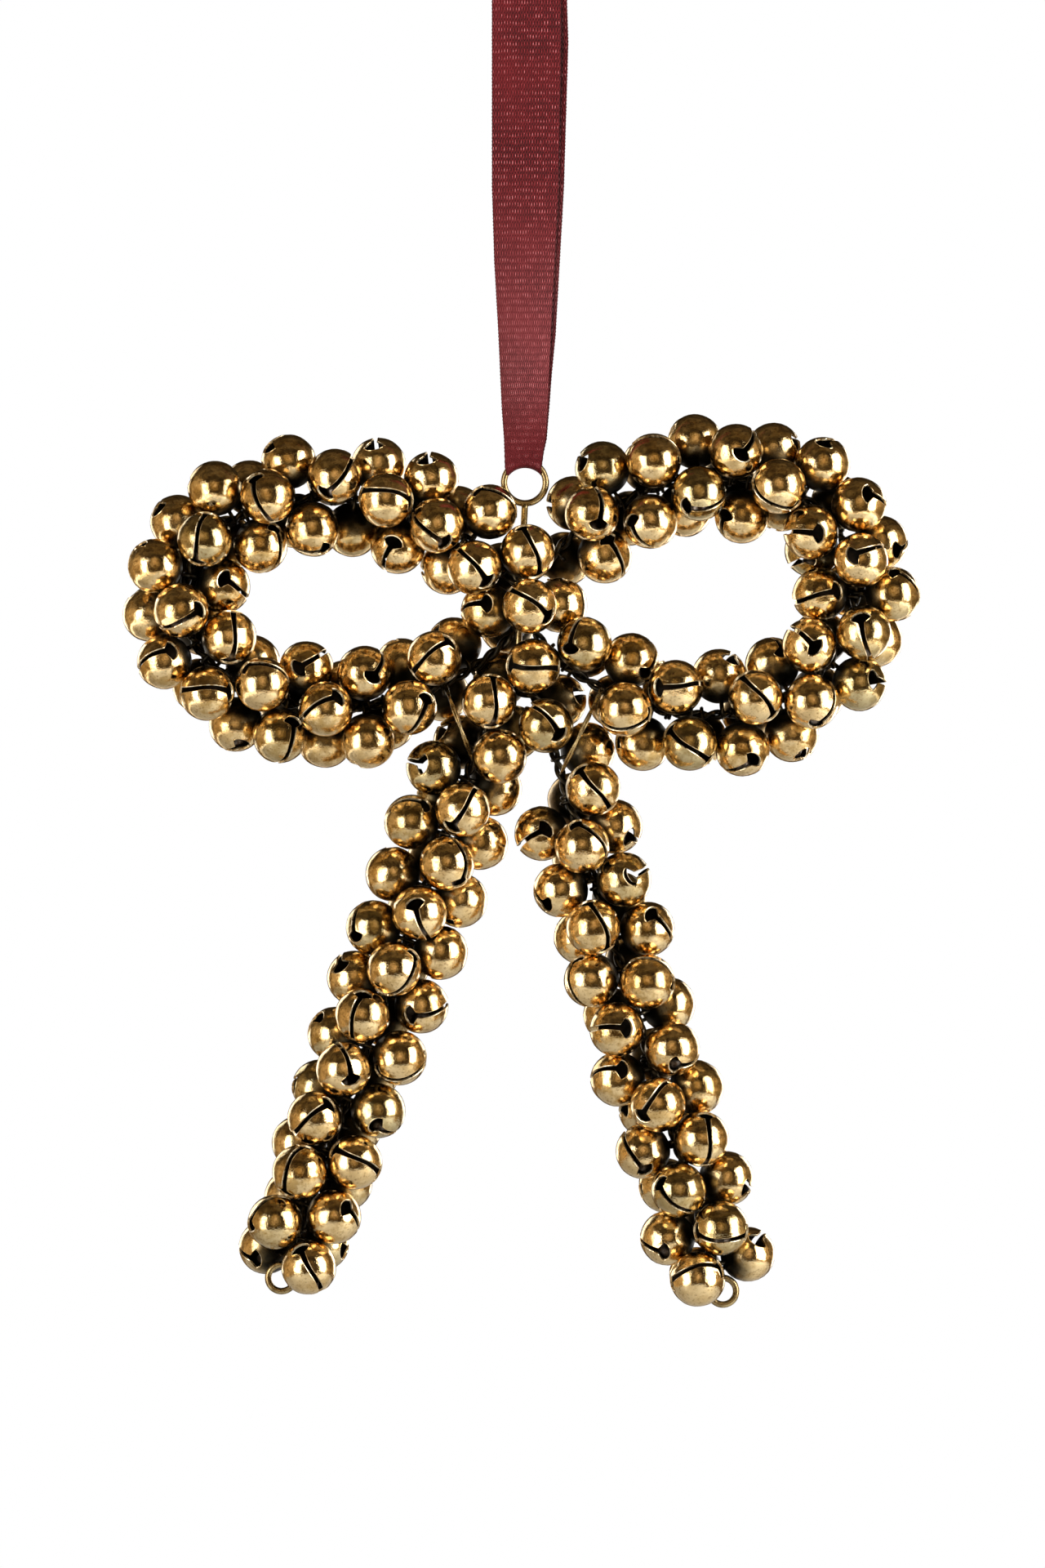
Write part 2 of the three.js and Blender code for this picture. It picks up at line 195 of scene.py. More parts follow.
def binding_ends(loop, tail, on_loop, on_tail):
    """The start, corner and end of a binding wire that bows out to the front."""
    forward = (STRUNG_RADIUS + CLEARANCE + BINDING_RADIUS) * Y_AXIS
    strand, leg = loop["stations"], tail["stations"]
    start = strand[int(on_loop * (len(strand) - 1) + 0.5)] - forward
    end = leg[int(on_tail * (len(leg) - 1) + 0.5)] - forward
    return start, (start + end) / 2 - 2 * BINDING_BULGE * Y_AXIS, end


TAIL_EYES = {"left_tail_eye": tail_eye(LIMBS[0]), "right_tail_eye": tail_eye(LIMBS[1])}
BINDINGS = {
    "left_binding_wire": binding_ends(LIMBS[2], LIMBS[0], on_loop=0.87, on_tail=0.86),
    "right_binding_wire": binding_ends(LIMBS[3], LIMBS[1], on_loop=0.13, on_tail=0.84),
}
STEM_TOP = EYE_CENTRE - TOP_EYE_RADIUS * Z_AXIS
STEM_FOOT = BEND + (STRUNG_RADIUS + CLEARANCE) * Z_AXIS


# Places of the bells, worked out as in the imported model


def along_line(start, end, spacing):
    """Points on a straight line, at most the spacing apart."""
    count = max(1, math.ceil(np.linalg.norm(end - start) / spacing))
    share = (np.arange(count + 1) / count)[:, None]
    return start + (end - start) * share


def around_ring(centre, radius, across, along, spacing):
    """Points round a ring, at most the spacing apart."""
    count = math.ceil(2 * math.pi * radius / spacing)
    turn = (2 * math.pi * np.arange(count) / count)[:, None]
    return centre + across * (radius * np.cos(turn)) + along * (radius * np.sin(turn))


def wire_room():
    """Points along every wire, and how far the middle of a bell keeps from each."""
    runs = [(limb["stations"][::3], STRUNG_RADIUS) for limb in LIMBS]
    stem = along_line(STEM_TOP, STEM_FOOT, CHECK_SPACING)
    top_ring = around_ring(EYE_CENTRE, TOP_EYE_RADIUS, X_AXIS, Z_AXIS, CHECK_SPACING)
    runs += [(stem, WIRE_RADIUS), (top_ring, WIRE_RADIUS)]
    for eye in TAIL_EYES.values():
        neck = along_line(eye["start"], eye["neck"], CHECK_SPACING)
        ring = around_ring(eye["centre"], TAIL_EYE_RADIUS, eye["side"], eye["out"],
                           CHECK_SPACING)
        runs += [(neck, WIRE_RADIUS), (ring, WIRE_RADIUS)]
    for ends in BINDINGS.values():
        line = bezier(*ends, np.arange(BINDING_CHECKS + 1) / BINDING_CHECKS)
        runs.append((line, BINDING_RADIUS))
    points = np.concatenate([points for points, radius in runs])
    reach = np.concatenate([
        np.full(len(points), BELL_RADIUS + radius + BACK_GAP) for points, radius in runs])
    return points, reach


def scatter(seed):
    """Even, repeatable numbers from 0 to 1."""
    multiplier, modulus = 16807, 2147483647
    value = seed
    while True:
        value = value * multiplier % modulus
        yield value / modulus


class Stringing:
    """Threads bells on the limbs. Each takes the first place where it touches nothing."""

    BLOCK = 8               # stations looked at together

    def __init__(self):
        self.room, self.reach = wire_room()
        self.bells = []

    def first_place(self, limb, start, distance, phase):
        """The first free place for a bell so far from the wire, or None."""
        stations = limb["stations"]
        angle = phase + 2 * math.pi * np.arange(TURNS) / TURNS
        across = (distance * np.cos(angle))[None, :, None]
        upward = (distance * np.sin(angle))[None, :, None]
        near = distance + BELL_DIAMETER + self.BLOCK * STEP + 1
        centres = np.array([bell["centre"] for bell in self.bells]).reshape(-1, 3)
        for low in range(start, len(stations), self.BLOCK):
            block = slice(low, low + self.BLOCK)
            places = (stations[block, None] + limb["side"][block, None] * across
                      + limb["up"][block, None] * upward).reshape(-1, 3)
            free = np.ones(len(places), bool)
            others = ((centres, BELL_DIAMETER + TOUCH_GAP), (self.room, self.reach))
            for points, reach in others:
                close = ((points - stations[low]) ** 2).sum(axis=1) < near * near
                limit = reach if np.isscalar(reach) else reach[close]
                gaps = ((places[:, None] - points[None, close]) ** 2).sum(axis=2)
                free &= (gaps >= limit * limit).all(axis=1)
            if free.any():
                first = int(free.argmax())
                return {"limb": limb["name"], "station": low + first // TURNS,
                        "centre": places[first]}
        return None

    def thread(self, limb):
        """Bells packed close along the whole limb."""
        draw = scatter(limb["seed"])
        nearest = BELL_RADIUS + STRUNG_RADIUS + BACK_GAP + limb["shank"]
        look_back = math.ceil(BELL_DIAMETER / STEP)
        start = 0
        while True:
            distance = nearest + SHANK_PLAY * next(draw)
            bell = self.first_place(limb, start, distance, 2 * math.pi * next(draw))
            if bell is None:
                return
            self.bells.append(bell)
            start = max(0, bell["station"] - look_back)

    def fill_knot(self, limb):
        """More bells in the gaps near the knot, on longer and longer shanks."""
        nearest = BELL_RADIUS + STRUNG_RADIUS + BACK_GAP + limb["shank"]
        extra = SHANK_PLAY
        while extra <= KNOT_SHANK:
            start = 0
            while bell := self.first_place(limb, start, nearest + extra, 0):
                if np.linalg.norm(bell["centre"] - KNOT_CENTRE) < KNOT_REACH:
                    self.bells.append(bell)
                start = bell["station"] + 1
            extra += SHANK_PLAY


def string_bells():
    """All the bells, in the order in which they are threaded."""
    stringing = Stringing()
    for limb in LIMBS:
        stringing.thread(limb)
    for limb in LIMBS:
        stringing.fill_knot(limb)
    return stringing.bells


# Mesh building


class Parts:
    """Gathers closed shapes, in millimetres, into one mesh."""

    def __init__(self):
        self.count = 0
        self.points, self.tones, self.inward = [], [], []
        self.ridges, self.faces, self.slots = [], [], []

    def add(self, points, faces, slots, tone=0.5, inward=0.0, ridges=None):
        """Adds a shape. Slots gives each array of faces its material number, or one a face."""
        self.points.append(points)
        self.tones.append(np.full(len(points), tone))
        self.inward.append(np.broadcast_to(inward, len(points)))
        ridges = np.zeros(len(points), int) if ridges is None else ridges
        self.ridges.append(np.where(ridges > 0, ridges + 10 * self.count, 0))
        for group, slot in zip(faces, slots):
            self.faces.append(group + self.count)
            self.slots.append(np.broadcast_to(slot, len(group)))
        self.count += len(points)

    def to_object(self, name, materials, uv=None):
        """The finished piece, linked to the scene."""
        points = np.concatenate(self.points) * MM
        sizes = np.concatenate([np.full(len(group), group.shape[1]) for group in self.faces])
        corners = np.concatenate([group.ravel() for group in self.faces])
        mesh = bpy.data.meshes.new(name)
        mesh.vertices.add(len(points))
        mesh.vertices.foreach_set("co", points.ravel())
        mesh.loops.add(len(corners))
        mesh.loops.foreach_set("vertex_index", corners)
        mesh.polygons.add(len(sizes))
        mesh.polygons.foreach_set("loop_start", np.cumsum(sizes) - sizes)
        mesh.polygons.foreach_set("material_index", np.concatenate(self.slots).astype(np.int32))
        mesh.update(calc_edges=True)
        mesh.shade_smooth()
        for label, values in (("tone", self.tones), ("inward", self.inward)):
            layer = mesh.attributes.new(label, "FLOAT", "POINT")
            layer.data.foreach_set("value", np.concatenate(values))
        ridges = np.concatenate(self.ridges)
        if ridges.any():
            ends = np.zeros(len(mesh.edges) * 2, int)
            mesh.edges.foreach_get("vertices", ends)
            ends = ridges[ends.reshape(-1, 2)]
            sharp = mesh.attributes.new("sharp_edge", "BOOLEAN", "EDGE")
            sharp.data.foreach_set("value", (ends[:, 0] > 0) & (ends[:, 0] == ends[:, 1]))
        if uv is not None:
            layer = mesh.uv_layers.new(name="weave")
            layer.data.foreach_set("uv", uv[corners].ravel())
        for material in materials:
            mesh.materials.append(material)
        piece = bpy.data.objects.new(name, mesh)
        bpy.context.scene.collection.objects.link(piece)
        return piece


def ring_bands(rings, columns, first=0):
    """Quads between rings of points that follow each other, each closed on itself."""
    ring = np.arange(rings - 1)[:, None] * columns + first
    column = np.arange(columns)[None, :]
    after = (column + 1) % columns
    low, high = ring + column, ring + after
    return np.stack([low, high, high + columns, low + columns], axis=-1).reshape(-1, 4)


def sweep(points, radius, sides, closed=False, start=None):
    """A round wire along points: its points and faces."""
    count = len(points)
    if closed:
        ahead = unit(np.roll(points, -1, axis=0) - np.roll(points, 1, axis=0))
    else:
        ahead = unit(np.gradient(points, axis=0))
    across = np.zeros_like(points)
    across[0] = unit(np.cross(ahead[0], Y_AXIS if start is None else start))
    for i in range(1, count):
        across[i] = unit(across[i - 1] - ahead[i] * np.dot(across[i - 1], ahead[i]))
    upward = np.cross(ahead, across)
    turn = (2 * math.pi * np.arange(sides) / sides)[None, :, None]
    radius = np.broadcast_to(radius, count)[:, None, None]
    round_it = across[:, None] * np.cos(turn) + upward[:, None] * np.sin(turn)
    skin = (points[:, None] + radius * round_it).reshape(-1, 3)
    if closed:
        bands = ring_bands(count + 1, sides) % (count * sides)
        return skin, [bands]
    caps = np.stack([np.arange(sides)[::-1], np.arange(sides) + (count - 1) * sides])
    return skin, [ring_bands(count, sides), caps]


# Bells


# Material numbers on a bunch of bells
SHELL, CUT_EDGE, INNER_WALL, WIRE, PELLET = range(5)

# Degrees that a bell leans at most, and counts and sizes of its dents and waves
BELL_LEAN = 48
DENTS, DENT_REACH = 3, 150
SHALLOWEST, DEEPER = 0.004, 0.016
NARROWEST, WIDER = 0.03, 0.12
WAVES, WAVE_REACH = 5, 180
LONGEST_WAVE, SHORTER = 5, 5
PELLET_RADIUS, PELLET_GAP = 1.9, 0.12


class BellShape:
    """The pressed shell of a bell round its slot and its two mouths, with its front pole on +Z."""

    # Degrees from the front pole
    SLOT_REACH = 57.0           # where the slot's straight sides end
    CORNER_REACH = 68.0         # where the mouth is widest
    MOUTH_REACH = 84.0          # the far side of the mouth
    OUTLINE_END = 96.0          # where the rings turn round
    LIP = 1.3                   # how far the cut edge leans into the slot
    SWAY = 1.7                  # how far the slot bends to each side
    RIPPLES = 13                # small uneven waves along the slot
    MOUTH_SHARE = 36            # of a quarter turn of the edge circle, the far side of the mouth
    SLOT_FLARE = 1.3            # how much wider the slot is where it meets the mouth
    # Millimetres
    RIDGE = 0.045               # how far the sheet stands up along the slot
    WAVE = 0.011                # height of each slight wave in the shell
    # Shares of the way from the cut to the rings, and the rings' degrees from the pole
    OUTSIDE = (1, 0.86, 0.72, 0.59, 0.47, 0.36, 0.26, 0.17, 0.1, 0.045, 0)
    INSIDE = (0, 0.15, 0.4, 0.7, 1)
    BACK = (173, 161, 148, 135, 122, 109)
    INNER_BACK = (120, 147)

    def __init__(self, settings):
        self.sheet = settings.sheet / MM
        self.outline, self.edge = self.cut_outline(settings)
        self.build()

    def cut_outline(self, settings):
        """The cut's outline and the circle that it spreads to, in degrees round the pole."""
        per_mm = math.degrees(1 / BELL_RADIUS)
        slot_half = settings.slot_width / MM / 2 * per_mm
        slot_end = self.SLOT_FLARE * slot_half
        mouth_half = settings.mouth_width / MM / 2 * per_mm
        x = np.linspace(0, self.SLOT_REACH, 7)
        flare = (slot_end - slot_half) * (x / self.SLOT_REACH) ** 2
        slot = np.stack([x, slot_half + flare], axis=1)
        share = (np.arange(1, 5) / 4)[:, None]
        corner = np.array([self.CORNER_REACH, mouth_half])
        lip = slot[-1] + (corner - slot[-1]) * share
        left = 1 - np.arange(1, 9) / 8
        turn = np.radians(90 * left)
        far = np.stack([self.CORNER_REACH + (self.MOUTH_REACH - self.CORNER_REACH) * np.cos(turn),
                        mouth_half * np.sin(turn)], axis=1)
        quarter = self.flattened(np.concatenate([slot, lip, far]))
        end = math.degrees(math.acos(self.SLOT_REACH / self.OUTLINE_END))
        around = np.radians(np.concatenate([
            np.degrees(np.arccos(x / self.OUTLINE_END)),
            end + (self.MOUTH_SHARE - end) * share[:, 0],
            self.MOUTH_SHARE * left]))
        edge = self.OUTLINE_END * np.stack([np.cos(around), np.sin(around)], axis=1)
        flip_x, flip_y = np.array([-1, 1]), np.array([1, -1])
        outline, edge = [np.concatenate([
            line[::-1],
            line[1:] * flip_x,
            line[-2::-1] * flip_x * flip_y,
            line[1:-1] * flip_y]) for line in (quarter, edge)]
        outline[:, 1] += self.SWAY * np.sin(math.pi * outline[:, 0] / self.SLOT_REACH)
        ripple = np.sin(self.RIPPLES * math.pi * outline[:, 0] / self.SLOT_REACH)
        outline[:, 1] += self.SWAY / 4 * ripple
        return outline, edge

    def flattened(self, cut):
        """Points in degrees along and across the slot, moved to the flat plan round the pole."""
        along, across = np.radians(cut).T
        x, y = np.sin(along) * np.cos(across), np.sin(across)
        from_pole = np.degrees(np.arccos(np.cos(along) * np.cos(across)))
        return from_pole[:, None] * unit(np.stack([x, y], axis=1))

    def lifted(self, flat, radius):
        """Points of the flat plan, in degrees, on a sphere."""
        theta = np.radians(np.linalg.norm(flat, axis=1))[:, None]
        around = unit(flat)
        return radius * np.concatenate([around * np.sin(theta), np.cos(theta)], axis=1)

    def build(self):
        """The shell's points, faces, material numbers and ridges, from its back round the cut."""
        spread = self.edge - self.outline
        turned_in = self.outline - unit(spread) * self.LIP
        inner = BELL_RADIUS - self.sheet
        rings = [self.lifted(self.edge * (theta / self.OUTLINE_END), BELL_RADIUS)
                 for theta in self.BACK]
        rings += [self.lifted(self.outline + spread * share, BELL_RADIUS)
                  for share in self.OUTSIDE]
        rings[-1] = self.lifted(self.outline, BELL_RADIUS + self.RIDGE)
        lip = len(rings) - 1
        rings.append(self.lifted(turned_in, BELL_RADIUS - self.RIDGE))
        rings += [self.lifted(turned_in + (self.edge - turned_in) * share, inner)
                  for share in self.INSIDE]
        rings += [self.lifted(self.edge * (theta / self.OUTLINE_END), inner)
                  for theta in self.INNER_BACK]
        columns = len(self.outline)
        count = len(rings)
        poles = [[-BELL_RADIUS * FRONT_POLE], [-inner * FRONT_POLE]]
        self.points = np.concatenate(rings + poles)
        bands = ring_bands(count, columns)
        band = np.arange(len(bands)) // columns
        slots = np.where(band < lip, SHELL, np.where(band < lip + 2, CUT_EDGE, INNER_WALL))
        column = np.arange(columns)
        after = (column + 1) % columns
        back = np.stack([np.full(columns, count * columns), after, column], axis=1)
        last = (count - 1) * columns
        inner_pole = np.full(columns, count * columns + 1)
        inner_back = np.stack([inner_pole, last + column, last + after], axis=1)
        self.faces = [bands, back, inner_back]
        self.slots = [slots, SHELL, INNER_WALL]
        self.ridges = np.zeros(len(self.points), int)
        for number, ring in enumerate((lip, lip + 1, lip + 2), 1):
            self.ridges[ring * columns:(ring + 1) * columns] = number

    def placed(self, centre, outward, spin, dents, waves):
        """The shell's points, dented and slightly wavy, with its slot turned by spin."""
        away = unit(self.points)
        uneven = sum(np.sin(away @ wave + phase) for wave, phase in waves)
        points = self.points * (1 + self.WAVE / BELL_RADIUS * (uneven - len(waves)))[:, None]
        for direction, depth, width in dents:
            bent = np.exp(-((1 - away @ direction) / width) ** 2)
            points = points * (1 - depth * bent)[:, None]
        first = unit(np.cross(outward, Z_AXIS + 0.01 * X_AXIS))
        second = np.cross(outward, first)
        slot = first * math.cos(spin) + second * math.sin(spin)
        return points @ np.stack([slot, np.cross(outward, slot), outward]) + centre


def ball(radius, rows=6, columns=10):
    """A small closed sphere: its points and faces."""
    theta = np.linspace(0, math.pi, rows + 1)[1:-1, None, None]
    turn = (2 * math.pi * np.arange(columns) / columns)[None, :, None]
    rings = np.concatenate([
        np.sin(theta) * np.cos(turn), np.sin(theta) * np.sin(turn), np.cos(theta) + 0 * turn],
        axis=2)
    points = radius * np.concatenate([rings.reshape(-1, 3), [FRONT_POLE], [-FRONT_POLE]])
    column = np.arange(columns)
    after = (column + 1) % columns
    top = np.full(columns, (rows - 1) * columns)
    low = (rows - 2) * columns
    bands = ring_bands(rows - 1, columns)[:, ::-1]
    return points, [bands, np.stack([top, column, after], axis=1),
                    np.stack([top + 1, low + after, low + column], axis=1)]


def shank(centre, on_wire, ahead):
    """The loop of wire on a bell's back, round the core wire."""
    outward = unit(centre - on_wire)
    outward = unit(outward - ahead * np.dot(outward, ahead))
    across = np.cross(ahead, outward)
    half_turn = np.radians(np.linspace(0, 180, 8))
    half_width, depth, wire, sunk = 1.5, 0.55, 0.36, 0.3
    bent = [across * (half_width * math.cos(a)) - outward * (depth * math.sin(a))
            for a in half_turn]
    foot = np.linalg.norm(centre - on_wire) - BELL_RADIUS + sunk
    legs = [across * half_width + outward * foot, -across * half_width + outward * foot]
    points = on_wire + np.array([legs[0], *bent, legs[1]])
    return sweep(points, wire, 6, start=ahead)


def station_at(limb, place, key="stations"):
    """A limb's values between two of its stations."""
    low = min(int(place), len(limb[key]) - 2)
    return limb[key][low] + (limb[key][low + 1] - limb[key][low]) * (place - low)


def twisted_core(limb, low, high):
    """Two strands twisted together along a stretch of the core wire."""
    pitch, offset, radius, spacing = 6.5, 0.5, 0.5, 0.5
    places = np.linspace(low, high, max(2, math.ceil((high - low) * STEP / spacing)))
    line = np.array([station_at(limb, place) for place in places])
    side = np.array([station_at(limb, place, "side") for place in places])
    up = np.array([station_at(limb, place, "up") for place in places])
    for strand in (0, math.pi):
        turn = (2 * math.pi * places * STEP / pitch + strand)[:, None]
        yield sweep(line + offset * (side * np.cos(turn) + up * np.sin(turn)), radius, 6)


def bunches(limb, own):
    """The bells of each bunch, and the stations where its stretch of core wire begins and ends."""
    count = limb["bunches"]
    firsts = [int(b * len(own) / count + 0.5) for b in range(count + 1)]
    between = [(own[first - 1]["station"] + own[first]["station"]) / 2 for first in firsts[1:-1]]
    cuts = [0, *between, len(limb["stations"]) - 1]
    for b in range(count):
        yield own[firsts[b]:firsts[b + 1]], cuts[b], cuts[b + 1]


def tilted(outward, draw, most):
    """A direction up to so many degrees off outward."""
    first = unit(np.cross(outward, Z_AXIS + 0.01 * X_AXIS))
    second = np.cross(outward, first)
    turn = 2 * math.pi * next(draw)
    lean = math.radians(most) * math.sqrt(next(draw))
    across = first * math.cos(turn) + second * math.sin(turn)
    return outward * math.cos(lean) + across * math.sin(lean)


def add_bell(parts, shape, limb, bell, draw):
    """One bell with its shank and the loose pellet at the bottom of its shell."""
    centre = bell["centre"]
    on_wire = limb["stations"][bell["station"]]
    ahead = unit(np.cross(limb["up"][bell["station"]], limb["side"][bell["station"]]))
    away = unit(centre - on_wire)
    outward = tilted(away, draw, BELL_LEAN)
    dents = []
    for _ in range(DENTS):
        direction = tilted(FRONT_POLE, draw, DENT_REACH)
        depth = SHALLOWEST + DEEPER * next(draw)
        dents.append((direction, depth, NARROWEST + WIDER * next(draw)))
    waves = []
    for _ in range(WAVES):
        direction = tilted(FRONT_POLE, draw, WAVE_REACH)
        wave = direction * (LONGEST_WAVE + SHORTER * next(draw))
        waves.append((wave, 2 * math.pi * next(draw)))
    spin = 2 * math.pi * next(draw)
    tone = next(draw)
    shell = shape.placed(centre, outward, spin, dents, waves)
    # How far each point of the shell faces the core wire; the brass material paints shade from it.
    inward = 0.5 - 0.5 * unit(shell - centre) @ away
    parts.add(shell, shape.faces, shape.slots, tone, inward, shape.ridges)
    points, faces = ball(PELLET_RADIUS)
    rest = BELL_RADIUS - shape.sheet - PELLET_RADIUS - PELLET_GAP
    parts.add(points + centre - rest * Z_AXIS, faces, [PELLET] * 3, tone)
    points, faces = shank(centre, on_wire, ahead)
    parts.add(points, faces, [WIRE] * 2, tone)


# Materials


def add_node(tree, kind, **values):
    """A new node. Values name its own settings or, written in_0 and so on, its inputs."""
    node = tree.nodes.new(kind)
    for key, value in values.items():
        if key.startswith("in_"):
            socket = node.inputs[int(key[3:])]
            if isinstance(value, bpy.types.NodeSocket):
                tree.links.new(value, socket)
            else:
                socket.default_value = value
        else:
            setattr(node, key, value)
    return node


def maths(tree, operation, *values):
    """The result of a Math node."""
    sockets = {f"in_{i}": value for i, value in enumerate(values)}
    return add_node(tree, "ShaderNodeMath", operation=operation, **sockets).outputs[0]


def ranged(tree, value, low, high, to_low, to_high, smooth=True):
    """The value moved from one range to another, and kept within it."""
    node = add_node(tree, "ShaderNodeMapRange", in_0=value, in_1=low, in_2=high,
                    in_3=to_low, in_4=to_high)
    node.interpolation_type = "SMOOTHSTEP" if smooth else "LINEAR"
    return node.outputs[0]


def blend(tree, share, first, second, how="MIX"):
    """Mixes two colours, each a socket or red, green and blue."""
    node = tree.nodes.new("ShaderNodeMix")
    node.data_type = "RGBA"
    node.blend_type = how
    for number, value in ((0, share), (6, first), (7, second)):
        socket = node.inputs[number]
        if isinstance(value, bpy.types.NodeSocket):
            tree.links.new(value, socket)
        elif isinstance(value, (int, float)):
            socket.default_value = value
        else:
            socket.default_value = (*value, 1)
    return node.outputs[2]


def cloud(tree, scale, detail=3.0, roughness=0.55, stretch=(1, 1, 1)):
    """Noise in the object's own space. The scale counts waves to the metre."""
    coords = add_node(tree, "ShaderNodeTexCoord").outputs["Object"]
    spread = add_node(tree, "ShaderNodeMapping", in_0=coords, in_3=stretch).outputs[0]
    noise = add_node(tree, "ShaderNodeTexNoise", in_0=spread)
    noise.inputs["Scale"].default_value = scale
    noise.inputs["Detail"].default_value = detail
    noise.inputs["Roughness"].default_value = roughness
    return noise.outputs[0]


def relief(tree, height, distance, strength=1.0, below=None):
    """A bump of so many millimetres."""
    node = add_node(tree, "ShaderNodeBump")
    node.inputs["Strength"].default_value = strength
    node.inputs["Distance"].default_value = distance * MM
    tree.links.new(height, node.inputs["Height"])
    if below is not None:
        tree.links.new(below, node.inputs["Normal"])
    return node.outputs[0]


def start_material(name, metallic):
    """A new material, its node tree and its shader."""
    material = bpy.data.materials.new(name)
    material.use_nodes = True
    tree = material.node_tree
    shader = tree.nodes["Principled BSDF"]
    shader.inputs["Metallic"].default_value = metallic
    return material, tree, shader


def finish_with(tree, shader, **sockets):
    """Links values to the shader's inputs of those names."""
    for name, value in sockets.items():
        tree.links.new(value, shader.inputs[name.replace("_", " ")])


OLIVE_BRASS = (0.44, 0.38, 0.20)
FRECKLE_BROWN = (0.30, 0.15, 0.035)
# Near black, for the painted shade on the bells' sides that face the core wire
PAINTED_SHADE_COLOUR = (0.022, 0.018, 0.011)
CUT_BRASS, WORN_CUT = (0.92, 0.78, 0.52), (0.45, 0.29, 0.12)
INSIDE_BROWN, INSIDE_DARK = (0.045, 0.024, 0.009), (0.012, 0.007, 0.003)
DARK_WIRE, WORN_WIRE = (0.022, 0.019, 0.014), (0.11, 0.085, 0.05)
STEEL, RUST = (0.20, 0.17, 0.14), (0.08, 0.045, 0.025)
DULL_BRASS = (0.20, 0.13, 0.055)
FLOOR_PALE, FLOOR_PALEST = (0.82, 0.86, 0.91), (0.86, 0.90, 0.95)


def antique_brass(settings):
    """Polished brass, browned in clouds and freckles, with painted shade that darkens it towards
    the core wire, where it is also rougher.
    """
    material, tree, shader = start_material("antique_brass", 1.0)
    tone = add_node(tree, "ShaderNodeAttribute", attribute_name="tone").outputs["Fac"]
    inward = add_node(tree, "ShaderNodeAttribute", attribute_name="inward").outputs["Fac"]
    patina = ranged(tree, cloud(tree, 330, 5.0, 0.68), 0.42, 0.60, 0, 1)
    patina = maths(tree, "MULTIPLY", patina, ranged(tree, tone, 0, 1, 0.25, 0.9, False))
    freckles = ranged(tree, cloud(tree, 1900, 4.0, 0.7), 0.53, 0.66, 0, 0.7)
    colour = blend(tree, patina, settings.brass, settings.patina)
    colour = blend(tree, ranged(tree, tone, 0.72, 1, 0, 0.6), colour, OLIVE_BRASS)
    colour = blend(tree, freckles, colour, FRECKLE_BROWN)
    # Painted shade: the brass is blended to near black where the shell faces the core wire, broken
    # up by noise.
    edge = maths(tree, "MULTIPLY_ADD", cloud(tree, 420, 3.0), 0.22, inward)
    painted_shade = ranged(tree, edge, 0.68, 1.0, 0, 1)
    colour = blend(tree, painted_shade, colour, PAINTED_SHADE_COLOUR)
    rough = maths(tree, "MULTIPLY_ADD", patina, 0.05, settings.roughness)
    rough = maths(tree, "MULTIPLY_ADD", freckles, 0.12, rough)
    rough = maths(tree, "MULTIPLY_ADD", painted_shade, 0.35, rough)
    waves = relief(tree, cloud(tree, 270, 1.5), 0.26)
    grain = relief(tree, cloud(tree, 3400, 4.0), 0.03, below=waves)
    finish_with(tree, shader, Base_Color=colour, Roughness=rough, Normal=grain)
    return material


def cut_brass():
    """The raw, brighter edge of the sheet where the slot is cut."""
    material, tree, shader = start_material("cut_brass_edge", 1.0)
    wear = ranged(tree, cloud(tree, 900, 4.0, 0.7), 0.42, 0.62, 0, 1)
    colour = blend(tree, wear, CUT_BRASS, WORN_CUT)
    rough = ranged(tree, cloud(tree, 1900, 3.0), 0.3, 0.7, 0.22, 0.5)
    finish_with(tree, shader, Base_Color=colour, Roughness=rough,
                Normal=relief(tree, cloud(tree, 2300, 3.0), 0.04))
    return material


def shell_inside():
    """The unpolished inside of a bell, brown and dusty."""
    material, tree, shader = start_material("bell_inside", 0.6)
    dust = ranged(tree, cloud(tree, 600, 4.0), 0.35, 0.65, 0, 1)
    colour = blend(tree, dust, INSIDE_BROWN, INSIDE_DARK)
    rough = ranged(tree, cloud(tree, 900, 3.0), 0.3, 0.7, 0.55, 0.8)
    finish_with(tree, shader, Base_Color=colour, Roughness=rough)
    return material


def dark_wire():
    """The browned wire of the cores and shanks, brighter where it rubs."""
    material, tree, shader = start_material("browned_wire", 1.0)
    worn = ranged(tree, cloud(tree, 800, 4.0, 0.6), 0.45, 0.7, 0, 1)
    colour = blend(tree, worn, DARK_WIRE, WORN_WIRE)
    rough = ranged(tree, cloud(tree, 1500, 3.0), 0.3, 0.7, 0.28, 0.5)
    finish_with(tree, shader, Base_Color=colour, Roughness=rough,
                Normal=relief(tree, cloud(tree, 2600, 2.0), 0.02))
    return material


def pellet_steel():
    """Grey steel with spots of rust."""
    material, tree, shader = start_material("pellet_steel", 1.0)
    rust = ranged(tree, cloud(tree, 1300, 4.0), 0.4, 0.65, 0, 1)
    colour = blend(tree, rust, STEEL, RUST)
    rough = ranged(tree, cloud(tree, 1500, 3.0), 0.3, 0.7, 0.35, 0.6)
    finish_with(tree, shader, Base_Color=colour, Roughness=rough)
    return material


def drawn_brass_wire(settings):
    """Bare wire with fine draw marks along it and dull patches."""
    material, tree, shader = start_material("drawn_brass_wire", 1.0)
    dull = ranged(tree, cloud(tree, 420, 4.0, 0.6), 0.42, 0.68, 0, 1)
    colour = blend(tree, dull, settings.colour, DULL_BRASS)
    rough = ranged(tree, cloud(tree, 1600, 3.0), 0.3, 0.7, 0.2, 0.38)
    marks = relief(tree, cloud(tree, 900, 3.0, stretch=(4, 4, 1)), 0.02)
    finish_with(tree, shader, Base_Color=colour, Roughness=rough, Normal=marks)
    return material


